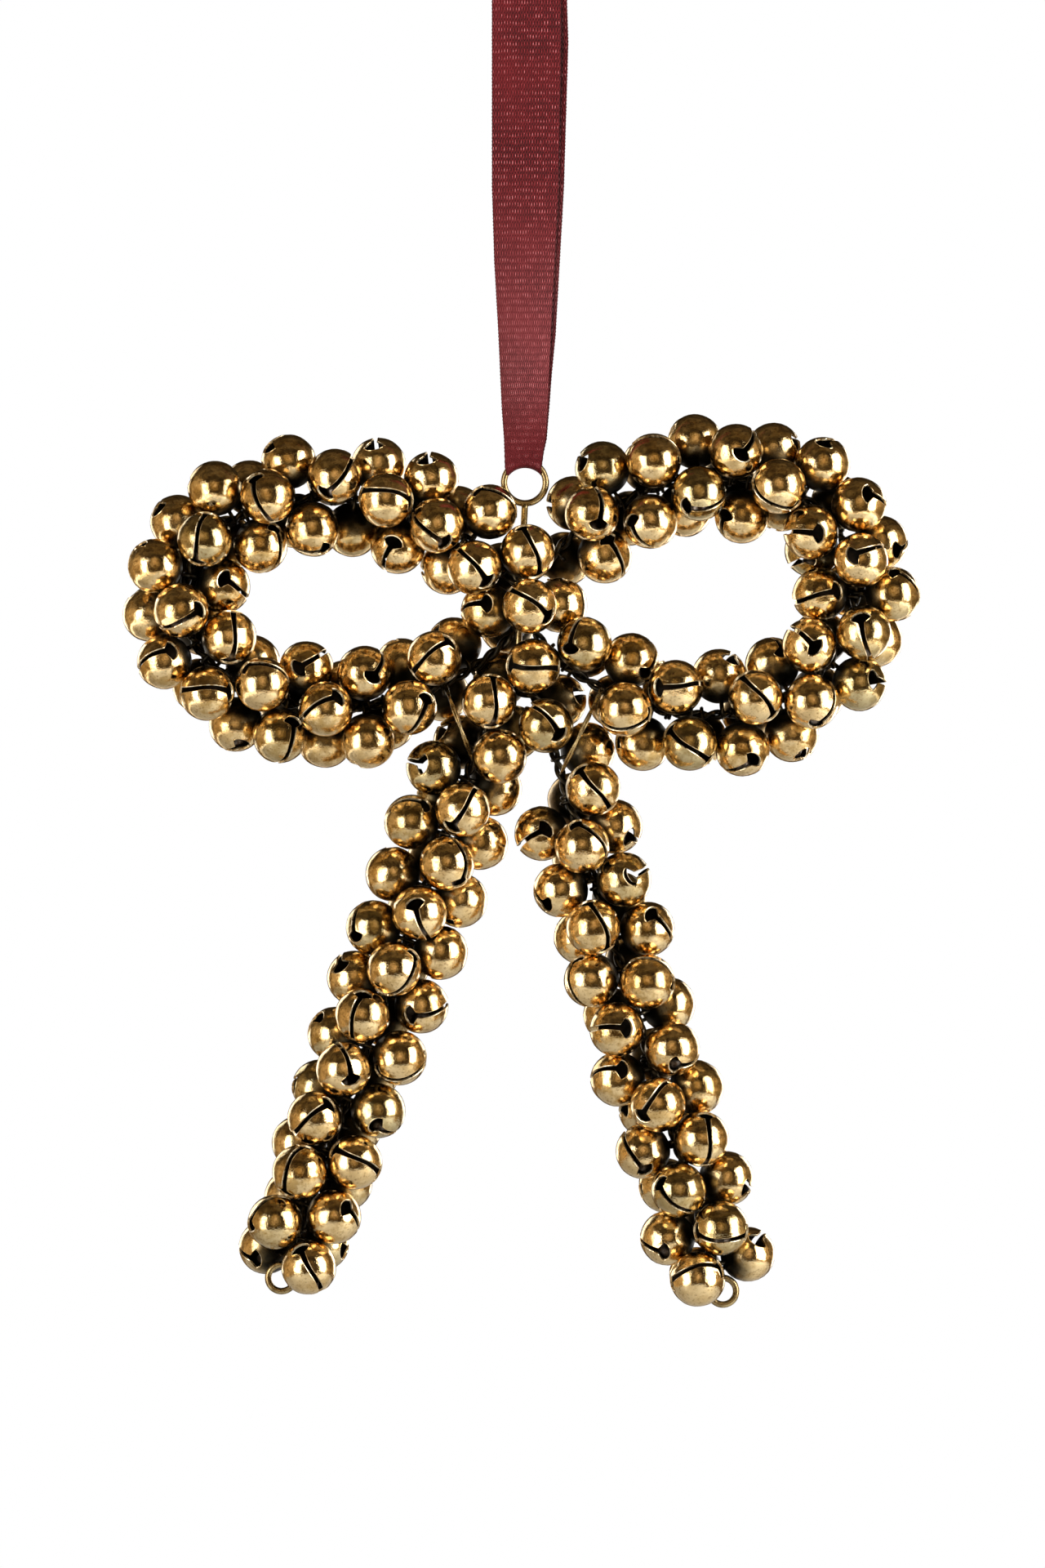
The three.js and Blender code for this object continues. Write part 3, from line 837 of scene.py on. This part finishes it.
def warp_float(tree, beside, half, along, phase):
    """Height of one raised warp thread: round across it and arched along each row."""
    across = maths(tree, "POWER", maths(tree, "DIVIDE", beside, half), 2.0)
    across = maths(tree, "SUBTRACT", 1.0, across)
    within = maths(tree, "FRACT", maths(tree, "ADD", along, phase))
    within = maths(tree, "ABSOLUTE", maths(tree, "MULTIPLY_ADD", within, 2.0, -1.0))
    arch = maths(tree, "SUBTRACT", 1.0, maths(tree, "POWER", within, 2.2))
    return maths(tree, "MULTIPLY", maths(tree, "MAXIMUM", across, 0.0), arch)


def grosgrain(settings, name="grosgrain", light=1.0):
    """Rows of short raised warp threads, with lower ones between them half a row off.

    The map is in millimetres across the ribbon and along it.
    """
    # A light below 1 dims every colour, for the inner face's copy of the weave under painted
    # shade.
    shadow, top, painted_light_colour, warm = [
        [light * c for c in colour]
        for colour in (settings.shadow, settings.colour, settings.painted_light, settings.warm)]
    material, tree, shader = start_material(name, 0.0)
    weave = add_node(tree, "ShaderNodeUVMap", uv_map="weave").outputs[0]
    across, along = add_node(tree, "ShaderNodeSeparateXYZ", in_0=weave).outputs[:2]
    column = maths(tree, "MULTIPLY_ADD", cloud(tree, 500, 2.0), 0.12, across)
    column = maths(tree, "ADD", maths(tree, "DIVIDE", column, settings.thread / MM), 200.0)
    beside = maths(tree, "SUBTRACT", maths(tree, "FRACT", column), 0.5)
    row = maths(tree, "DIVIDE", along, settings.row / MM)
    row = maths(tree, "MULTIPLY_ADD", beside, 0.25, row)
    row = maths(tree, "MULTIPLY_ADD", cloud(tree, 300, 2.0), 0.3, row)
    aside = maths(tree, "ABSOLUTE", beside)
    high = warp_float(tree, aside, 0.3, row, 0.0)
    low = warp_float(tree, maths(tree, "SUBTRACT", 0.5, aside), 0.27, row, 0.5)
    height = maths(tree, "MAXIMUM", high, maths(tree, "MULTIPLY", low, 0.62))
    uneven = ranged(tree, cloud(tree, 1100, 2.0), 0.35, 0.7, 0.6, 1.0)
    height = maths(tree, "MULTIPLY", height, uneven)
    shade = ranged(tree, height, 0.1, 0.8, 0, 1)
    colour = blend(tree, shade, shadow, top)
    # Painted highlight: the tops of the raised threads are blended towards the pale painted-light
    # colour.
    tops = ranged(tree, height, 0.62, 0.95, 0, 0.8)
    colour = blend(tree, tops, colour, painted_light_colour)
    drift = ranged(tree, cloud(tree, 60, 3.0), 0.3, 0.7, 0, 0.4)
    colour = blend(tree, drift, colour, warm)
    # Painted light: a lighter stretch on each strand, about 6 to 62 mm from the fold and most on
    # the thread tops.
    from_fold = maths(tree, "ABSOLUTE", maths(tree, "SUBTRACT", along, RIBBON_DROP + 2))
    painted_light = ranged(tree, from_fold, 18, 62, 1, 0)
    painted_light = maths(tree, "MULTIPLY", painted_light, ranged(tree, from_fold, 6, 26, 0, 1))
    painted_light = maths(tree, "MULTIPLY", painted_light, ranged(tree, height, 0, 0.8, 0.06, 0.3))
    colour = blend(tree, painted_light, colour, painted_light_colour)
    rough = ranged(tree, height, 0.35, 1, 0.8, 0.3)
    shader.inputs["Specular IOR Level"].default_value = 0.28
    finish_with(tree, shader, Base_Color=colour, Roughness=rough, Normal=relief(tree, height, 0.3))
    return material


def pale_floor():
    """The pale floor, plain with a faint mottle."""
    material, tree, shader = start_material("pale_floor", 0.0)
    mottle = ranged(tree, cloud(tree, 9, 4.0), 0.3, 0.7, 0, 1)
    colour = blend(tree, mottle, FLOOR_PALE, FLOOR_PALEST)
    rough = ranged(tree, cloud(tree, 30, 3.0), 0.3, 0.7, 0.7, 0.85)
    finish_with(tree, shader, Base_Color=colour, Roughness=rough)
    return material


# Settings


class BellSettings(PropertyGroup):
    """Sizes and finish of the bells"""

    sheet: FloatProperty(name="Sheet", description="Thickness of the pressed brass",
                         default=0.00035, min=0.0001, precision=5, unit="LENGTH")
    slot_width: FloatProperty(name="Slot width", description="Width of the slot in each bell",
                              default=0.00098, min=0.0001, precision=5, unit="LENGTH")
    mouth_width: FloatProperty(name="Mouth width",
                               description="Width of the opening at each end of the slot",
                               default=0.0039, min=0.001, precision=5, unit="LENGTH")
    brass: FloatVectorProperty(name="Brass", description="Colour of the polished brass",
                               default=(0.88, 0.65, 0.33), subtype="COLOR", min=0, max=1)
    patina: FloatVectorProperty(name="Patina", description="Colour of the browned brass",
                                default=(0.50, 0.29, 0.07), subtype="COLOR", min=0, max=1)
    roughness: FloatProperty(name="Roughness", description="Roughness where the brass is cleanest",
                             default=0.065, min=0, max=1, subtype="FACTOR")


class WireSettings(PropertyGroup):
    """Finish of the bare wires"""

    colour: FloatVectorProperty(name="Wire", description="Colour of the bare brass wire",
                                default=(0.48, 0.36, 0.17), subtype="COLOR", min=0, max=1)


class RibbonSettings(PropertyGroup):
    """Weave and colours of the ribbon"""

    thickness: FloatProperty(name="Thickness", description="Thickness of the ribbon",
                             default=0.00045, min=0.0001, precision=5, unit="LENGTH")
    thread: FloatProperty(name="Thread", description="From one raised warp thread to the next",
                          default=0.00052, min=0.0001, precision=5, unit="LENGTH")
    row: FloatProperty(name="Row", description="Height of one row of raised threads",
                       default=0.00125, min=0.0002, precision=5, unit="LENGTH")
    colour: FloatVectorProperty(name="Ribbon", description="Colour on top of the threads",
                                default=(0.28, 0.008, 0.015), subtype="COLOR", min=0, max=1)
    shadow: FloatVectorProperty(name="Shadow", description="Colour between the threads",
                                default=(0.04, 0.0015, 0.003), subtype="COLOR", min=0, max=1)
    # Colour of the painted highlights on the thread tops and of the painted light along the
    # strands above the fold
    painted_light: FloatVectorProperty(name="Painted light",
                                description="Colour of the painted highlights and painted light on the threads",
                                default=(0.8, 0.24, 0.26), subtype="COLOR", min=0, max=1)
    warm: FloatVectorProperty(name="Fade", description="Colour of the slightly faded stretches",
                              default=(0.22, 0.01, 0.015), subtype="COLOR", min=0, max=1)


class StageSettings(PropertyGroup):
    """Camera and light"""

    distance: FloatProperty(name="Distance", description="From the camera to the bow", default=1.1,
                            min=0.3, unit="LENGTH")
    view_height: FloatProperty(name="View height", description="Height that the picture takes in",
                               default=0.28235, min=0.05, precision=4, unit="LENGTH")
    key: FloatProperty(name="Key light", description="Power of the strong light", default=13.0,
                       min=0, unit="POWER")
    surroundings: FloatProperty(name="Surroundings",
                                description="Strength of the light from all round",
                                default=2.8, min=0)
    fill: FloatProperty(name="Fill light", description="Power of the weaker light", default=5.7,
                        min=0, unit="POWER")


# Pieces


def claim(piece, node):
    """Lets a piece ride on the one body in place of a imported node."""
    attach(piece, "root")
    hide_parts(node)


class BOW_OT_stage(Operator):
    """Sets up the camera, the soft lights, the pale surroundings and the floor"""

    bl_idname = "bow.stage"
    bl_label = "Stage"

    SENSOR = 36.0
    MIDDLE = (-0.00044, 0.0, -0.1538)       # of the picture, in metres
    AIM = np.array([0.0, 0.0, -0.15])       # of the lights
    # Name, place, size, and shares of the key light's and the fill light's power
    LIGHTS = (
        ("key", (0.88, -0.5, 0.0), (0.56, 1.0), 1.0, 0.0),
        ("fill", (-0.72, -0.66, -0.18), (0.46, 0.8), 0.0, 1.0),
        ("back_key", (-0.6, 0.8, 0.0), (0.4, 0.9), 0.2, 0.0),
        ("back_fill", (0.5, 0.85, -0.15), (0.4, 0.7), 0.0, 0.5),
    )
    FLOOR_SIDES = 96
    FLOOR_RADIUS, FLOOR_TOP, FLOOR_BOTTOM = 520, 460, 466       # in millimetres

    def execute(self, context):
        settings = context.scene.bow_stage
        data = bpy.data.cameras.new("front_view")
        data.sensor_fit = "VERTICAL"
        data.sensor_height = self.SENSOR
        data.lens = self.SENSOR * settings.distance / settings.view_height
        data.clip_end = 20.0
        camera = bpy.data.objects.new("front_view", data)
        camera.location = (self.MIDDLE[0], -settings.distance, self.MIDDLE[2])
        camera.rotation_euler = (math.pi / 2, 0, 0)
        context.scene.collection.objects.link(camera)
        context.scene.camera = camera
        for name, place, size, key, fill in self.LIGHTS:
            self.add_light(context, name, place, size, key * settings.key + fill * settings.fill)
        self.add_surroundings(context, settings)
        self.add_floor()
        context.scene.view_settings.view_transform = "Standard"
        return {"FINISHED"}

    def add_light(self, context, name, place, size, power):
        """A soft oblong light that faces the bow."""
        data = bpy.data.lights.new(name, "AREA")
        data.shape = "RECTANGLE"
        data.size, data.size_y = size
        data.energy = power
        light = bpy.data.objects.new(name, data)
        light.location = place
        aim = self.AIM - np.array(place)
        turn = math.atan2(aim[0], aim[1])
        lean = math.atan2(aim[2], math.hypot(aim[0], aim[1]))
        light.rotation_euler = (math.pi / 2 + lean, 0, -turn)
        light.visible_camera = False
        context.scene.collection.objects.link(light)

    def add_surroundings(self, context, settings):
        """White to look at, and for light and reflections a studio with bright sides and floor."""
        world = bpy.data.worlds.new("studio")
        context.scene.world = world
        world.use_nodes = True
        tree = world.node_tree
        tree.nodes.clear()
        direction = add_node(tree, "ShaderNodeTexCoord").outputs["Generated"]
        y, z = add_node(tree, "ShaderNodeSeparateXYZ", in_0=direction).outputs[1:]
        patches = add_node(tree, "ShaderNodeTexNoise", in_0=direction)
        patches.inputs["Scale"].default_value = 5.0
        uneven = ranged(tree, patches.outputs[0], 0.4, 0.62, 0.45, 1.4)
        facing = maths(tree, "ABSOLUTE", y)
        sides = ranged(tree, facing, 0.45, 0.8, 0.21, 0.04)
        sides = maths(tree, "MULTIPLY", sides, ranged(tree, y, 0.1, 0.5, 1.0, 0.4))
        level = maths(tree, "ADD", sides, ranged(tree, y, 0.25, 0.7, 0.0, 0.05))
        above = ranged(tree, maths(tree, "MULTIPLY_ADD", facing, 0.3, z), 0.2, 0.7, 1.0, 0.2)
        level = maths(tree, "MULTIPLY", maths(tree, "MULTIPLY", level, above), uneven)
        level = maths(tree, "ADD", level, ranged(tree, z, -0.56, -0.46, 1.1, 0.0))
        ahead = add_node(tree, "ShaderNodeVectorMath", operation="DISTANCE", in_0=direction)
        ahead.inputs[1].default_value = (0.0, -0.97, 0.24)
        glow = ranged(tree, ahead.outputs["Value"], 0.1, 0.5, 0.22, 0.0)
        level = maths(tree, "ADD", level, maths(tree, "MULTIPLY", glow, uneven))
        amber, cream = (1.0, 0.70, 0.36), (1.0, 0.97, 0.92)
        tint = blend(tree, ranged(tree, level, 0.22, 0.62, 0, 1), amber, cream)
        level = maths(tree, "MULTIPLY", level, settings.surroundings)
        studio = add_node(tree, "ShaderNodeBackground", in_0=tint, in_1=level)
        white = add_node(tree, "ShaderNodeBackground", in_1=1.0)
        white.inputs[0].default_value = (1, 1, 1, 1)
        seen = add_node(tree, "ShaderNodeLightPath").outputs["Is Camera Ray"]
        mixed = add_node(tree, "ShaderNodeMixShader", in_0=seen, in_1=studio.outputs[0],
                         in_2=white.outputs[0])
        output = tree.nodes.new("ShaderNodeOutputWorld")
        tree.links.new(mixed.outputs[0], output.inputs[0])

    def add_floor(self):
        """A pale disc well below the bow."""
        parts = Parts()
        sides = np.arange(self.FLOOR_SIDES)
        turn = (2 * math.pi * sides / self.FLOOR_SIDES)[:, None]
        disc = self.FLOOR_RADIUS * (X_AXIS * np.cos(turn) + Y_AXIS * np.sin(turn))
        points = np.concatenate([disc - height * Z_AXIS
                                 for height in (self.FLOOR_TOP, self.FLOOR_BOTTOM)])
        caps = np.stack([sides, sides[::-1] + self.FLOOR_SIDES])
        parts.add(points, [ring_bands(2, self.FLOOR_SIDES)[:, ::-1], caps], [0, 0])
        floor = parts.to_object("floor", [pale_floor()])


class BOW_OT_bells(Operator):
    """Builds the bells of both loops and both tails on their core wires"""

    bl_idname = "bow.bells"
    bl_label = "Bells"

    SEED = 2024

    def execute(self, context):
        settings = context.scene.bow_bells
        shape = BellShape(settings)
        materials = [antique_brass(settings), cut_brass(), shell_inside(), dark_wire(),
                     pellet_steel()]
        bells = string_bells()
        draw = scatter(self.SEED)
        for limb in LIMBS:
            name = limb["name"]
            own = sorted((b for b in bells if b["limb"] == name), key=lambda b: b["station"])
            for number, (bunch, low, high) in enumerate(bunches(limb, own), 1):
                parts = Parts()
                for points, faces in twisted_core(limb, low, high):
                    parts.add(points, faces, [WIRE] * 2)
                for bell in bunch:
                    add_bell(parts, shape, limb, bell, draw)
                piece = parts.to_object(f"{name}_shells_{number:02d}", materials)
                claim(piece, f"{name}_bells_{number:02d}")
        return {"FINISHED"}


class BOW_OT_wires(Operator):
    """Builds the top eye with its stem, the eyes at the tails' ends and the binding wires"""

    bl_idname = "bow.wires"
    bl_label = "Wires"

    SIDES = 12
    RING_SPACING, EYE_SPACING, STEM_SPACING = 0.35, 0.3, 1.0
    BINDING_STEPS = 40
    BINDING_TURNS = 1.25        # that the two strands of a binding wire twist

    def execute(self, context):
        brass = drawn_brass_wire(context.scene.bow_wires)
        parts = Parts()
        ring = around_ring(EYE_CENTRE, TOP_EYE_RADIUS, X_AXIS, Z_AXIS, self.RING_SPACING)
        self.add_wire(parts, ring, WIRE_RADIUS, closed=True)
        self.add_wire(parts, along_line(STEM_TOP, STEM_FOOT, self.STEM_SPACING), WIRE_RADIUS)
        claim(parts.to_object("top_eye_wire", [brass]), "top_eye")
        for name, eye in TAIL_EYES.items():
            parts = Parts()
            ring = around_ring(eye["centre"], TAIL_EYE_RADIUS, eye["side"], eye["out"],
                               self.EYE_SPACING)
            self.add_wire(parts, ring, WIRE_RADIUS, closed=True)
            neck = along_line(eye["start"], eye["neck"], self.EYE_SPACING)
            self.add_wire(parts, neck, WIRE_RADIUS)
            claim(parts.to_object(f"{name}_wire", [brass]), name)
        for name, ends in BINDINGS.items():
            parts = Parts()
            line = bezier(*ends, np.arange(self.BINDING_STEPS + 1) / self.BINDING_STEPS)
            beside = unit(np.cross(ends[2] - ends[0], Y_AXIS)) * BINDING_RADIUS / 2
            turn = np.linspace(0, 2 * self.BINDING_TURNS * math.pi, self.BINDING_STEPS + 1)
            twist = np.cos(turn)[:, None]
            for side in (1, -1):
                self.add_wire(parts, line + side * beside * twist, BINDING_RADIUS / 2)
            claim(parts.to_object(f"{name}_round", [brass]), name)
        return {"FINISHED"}

    def add_wire(self, parts, line, radius, closed=False):
        """Adds a round wire along a line of points."""
        points, faces = sweep(line, radius, self.SIDES, closed)
        parts.add(points, faces, [0] * len(faces))


class BOW_OT_ribbon(Operator):
    """Builds the ribbon loop, hung over its hook and folded through the top eye"""

    bl_idname = "bow.ribbon"
    bl_label = "Ribbon"

    FLAT_WIDTH = 12.7
    COLUMNS = 29
    SELVEDGE = 2                # columns at each edge that keep the unshaded weave on the inner face, outside its painted shade
    # Height, left edge and right edge of the front strand, and the right edge of the back strand
    HEIGHTS = (-98.0, -95.7, -91.6, -86.1, -79.5, -72.9, -59.7, -46.4, -20.0, 0.0)
    LEFT = (-2.8, -3.7, -3.85, -4.25, -4.55, -4.85, -5.6, -6.0, -6.0, -6.0)
    RIGHT = (2.7, 3.0, 3.8, 4.2, 4.45, 4.75, 5.45, 6.15, 6.55, 6.6)
    BACK_RIGHT = (2.7, 3.1, 4.0, 4.45, 4.95, 5.6, 6.35, 7.1, 7.9, 7.3)
    STRAND_STEPS, TOP_STEPS, FOLD_STEPS = 459, 49, 15
    TOP_RADIUS, TOP_HEIGHT = 3.3, -3.0
    FOLD_RADIUS, FOLD_CLEARANCE = 0.92, 0.05
    SCALLOP, SCALLOP_SHARPNESS = 0.09, 30       # of the edges, in and out with the rows
    RIB = 0.06                  # height of a row's swell
    INNER_PAINTED_SHADE_BRIGHTNESS = 0.35          # share of the colours' brightness kept on the inner face, as painted shade between the strands
    # The gathered band is cupped, less so near its ends and where the strands meet
    CUP_LEAST, CUP_GATHERED, CUP_POWER = 0.25, 2.2, 2.2
    CUP_FOOT, CUP_FADE, CUP_GAP = -95.5, 12, 0.45
    # Below this height, the band sinks to the curve of the ring
    RING_HEIGHT, RING_FADE, RING_REACH = -94.0, 2.5, 3.0

    def execute(self, context):
        settings = context.scene.bow_ribbon
        line, outward, share_back = self.centreline()
        depth, height = line.T
        along = np.concatenate([[0], np.cumsum(np.linalg.norm(np.diff(line, axis=0), axis=1))])
        u = np.linspace(-1, 1, self.COLUMNS)
        row = along / (settings.row / MM)
        left, right = self.edges(height, share_back)
        x = left[:, None] + (right - left)[:, None] * (u[None, :] + 1) / 2 - self.scallop(row, u)
        cup = self.cup(depth, height, right - left)
        bow = cup[:, None] * (np.abs(u)[None, :] ** self.CUP_POWER)
        drop = self.drop(x, height)
        half = settings.thickness / MM / 2
        rib = self.RIB * np.sin(math.pi * row)[:, None] ** 2
        across, down = np.broadcast_arrays(u[None, :] * self.FLAT_WIDTH / 2, along[:, None])
        flat = np.stack([across, down], axis=2).reshape(-1, 2)
        surfaces = []
        for sign in (1, -1):
            lift = sign * (half + rib) - bow
            y = depth[:, None] + outward[:, 0][:, None] * lift
            z = height[:, None] + outward[:, 1][:, None] * lift + drop
            surfaces.append(np.stack([x, y, z], axis=2).reshape(-1, 3))
        parts = Parts()
        faces, inner = self.band_faces(len(line))
        parts.add(np.concatenate(surfaces), faces, [0, inner, 0, 0])
        cloths = [grosgrain(settings),
                  grosgrain(settings, "grosgrain_inner_face_painted_shade", self.INNER_PAINTED_SHADE_BRIGHTNESS)]
        piece = parts.to_object("grosgrain_ribbon", cloths, uv=np.concatenate([flat, flat]))
        claim(piece, "hanging_ribbon")
        return {"FINISHED"}

    def edges(self, height, share_back):
        """Left and right edge of the band at each point of its centreline."""
        left = np.interp(height, self.HEIGHTS, self.LEFT)
        right = np.interp(height, self.HEIGHTS, self.RIGHT)
        back_right = np.interp(height, self.HEIGHTS, self.BACK_RIGHT)
        back_left = back_right - (right - left)
        left = left + (back_left - left) * share_back
        right = right + (back_right - right) * share_back
        return left, right

    def scallop(self, row, u):
        """How far the edges go in between the rows of the weave."""
        waves = self.SCALLOP * np.abs(np.cos(2 * math.pi * row))
        near_edge = np.abs(u)[None, :] ** self.SCALLOP_SHARPNESS
        return waves[:, None] * near_edge * np.sign(u)[None, :]

    def cup(self, depth, height, width):
        """Depth of the band's cupping at each point of its centreline."""
        gathered = 1 - width / self.FLAT_WIDTH
        room = np.clip((height - self.CUP_FOOT) / self.CUP_FADE, 0, 1)
        room = room * np.clip(-height / self.CUP_FADE, 0, 1)
        cup = (self.CUP_LEAST + self.CUP_GATHERED * gathered) * room
        return np.minimum(cup, np.maximum(np.abs(depth) - self.CUP_GAP, 0))

    def drop(self, x, height):
        """How far the band sinks sideways over the curve of the top eye."""
        reach = np.minimum(np.abs(x), self.RING_REACH)
        ring = np.sqrt(np.maximum(TOP_EYE_RADIUS ** 2 - reach ** 2, 0)) - TOP_EYE_RADIUS
        return ring * np.clip((self.RING_HEIGHT - height) / self.RING_FADE, 0, 1)[:, None]

    def band_faces(self, count):
        """Faces of both sides and both edges, and the inner side's materials."""
        total = count * self.COLUMNS
        i = np.arange(count)[:, None]
        j = np.arange(self.COLUMNS - 1)[None, :]
        here = i * self.COLUMNS
        after = (i + 1) % count * self.COLUMNS
        outer = np.stack([here + j, here + j + 1, after + j + 1, after + j], axis=2).reshape(-1, 4)
        faces = [outer, outer[:, ::-1] + total]
        for edge, flip in ((0, 1), (self.COLUMNS - 1, -1)):
            a, b = here[:, 0] + edge, after[:, 0] + edge
            faces.append(np.stack([a, b, b + total, a + total], axis=1)[:, ::flip])
        from_side = np.minimum(j, self.COLUMNS - 2 - j) + 0 * i
        return faces, np.where(from_side < self.SELVEDGE, 0, 1).ravel()

    def centreline(self):
        """(y, z) points round the band, their outward directions and shares of the back strand."""
        top, fold = self.TOP_RADIUS, self.FOLD_RADIUS
        fold_height = EYE_CENTRE[2] + TOP_EYE_RADIUS + self.FOLD_CLEARANCE
        down = np.linspace(0, 1, self.STRAND_STEPS + 1)[:-1, None]
        over = np.radians(np.linspace(0, 180, self.TOP_STEPS + 1))[:-1]
        under = np.radians(np.linspace(180, 360, self.FOLD_STEPS + 1))[:-1]
        over, under = (np.stack([np.cos(turn), np.sin(turn)], axis=1) for turn in (over, under))
        slope = np.array([top - fold, fold_height - self.TOP_HEIGHT])
        front = np.array([-top, self.TOP_HEIGHT]) + down * slope
        back = np.array([fold, fold_height]) + down * slope * [1, -1]
        line = np.concatenate([front, fold * under + [0, fold_height], back,
                               top * over + [0, self.TOP_HEIGHT]])
        outward = np.concatenate([np.broadcast_to([-1.0, 0.0], front.shape), under,
                                  np.broadcast_to([1.0, 0.0], back.shape), over])
        share_back = np.concatenate([
            np.zeros(len(front)), np.linspace(0, 1, len(under)), np.ones(len(back)),
            np.linspace(1, 0, len(over))])
        return line, outward, share_back


class BOW_PT_panel(Panel):
    """Lists the pieces of the bow and their settings"""

    bl_idname = "BOW_PT_panel"
    bl_label = "Bell Bow"
    bl_space_type = "VIEW_3D"
    bl_region_type = "UI"
    bl_category = "Bell Bow"

    def draw(self, context):
        for group, operator in SECTIONS:
            box = self.layout.box()
            settings = getattr(context.scene, group)
            for key in settings.bl_rna.properties.keys():
                if key not in ("rna_type", "name"):
                    box.prop(settings, key)
            box.operator(operator)


SECTIONS = (
    ("bow_stage", "bow.stage"),
    ("bow_bells", "bow.bells"),
    ("bow_wires", "bow.wires"),
    ("bow_ribbon", "bow.ribbon"),
)
GROUPS = {
    "bow_stage": StageSettings,
    "bow_bells": BellSettings,
    "bow_wires": WireSettings,
    "bow_ribbon": RibbonSettings,
}
CLASSES = (*GROUPS.values(), BOW_OT_stage, BOW_OT_bells, BOW_OT_wires, BOW_OT_ribbon, BOW_PT_panel)


def register():
    """Makes the settings, the operators and the panel known."""
    for cls in CLASSES:
        bpy.utils.register_class(cls)
    for name, group in GROUPS.items():
        setattr(bpy.types.Scene, name, PointerProperty(type=group))


def unregister():
    """Takes them away again, in the opposite order."""
    for name in GROUPS:
        delattr(bpy.types.Scene, name)
    for cls in reversed(CLASSES):
        bpy.utils.unregister_class(cls)


def main():
    """Builds everything."""
    register()
    bpy.ops.bow.stage()
    bpy.ops.bow.bells()
    bpy.ops.bow.wires()
    bpy.ops.bow.ribbon()


if __name__ == "__main__":
    main()
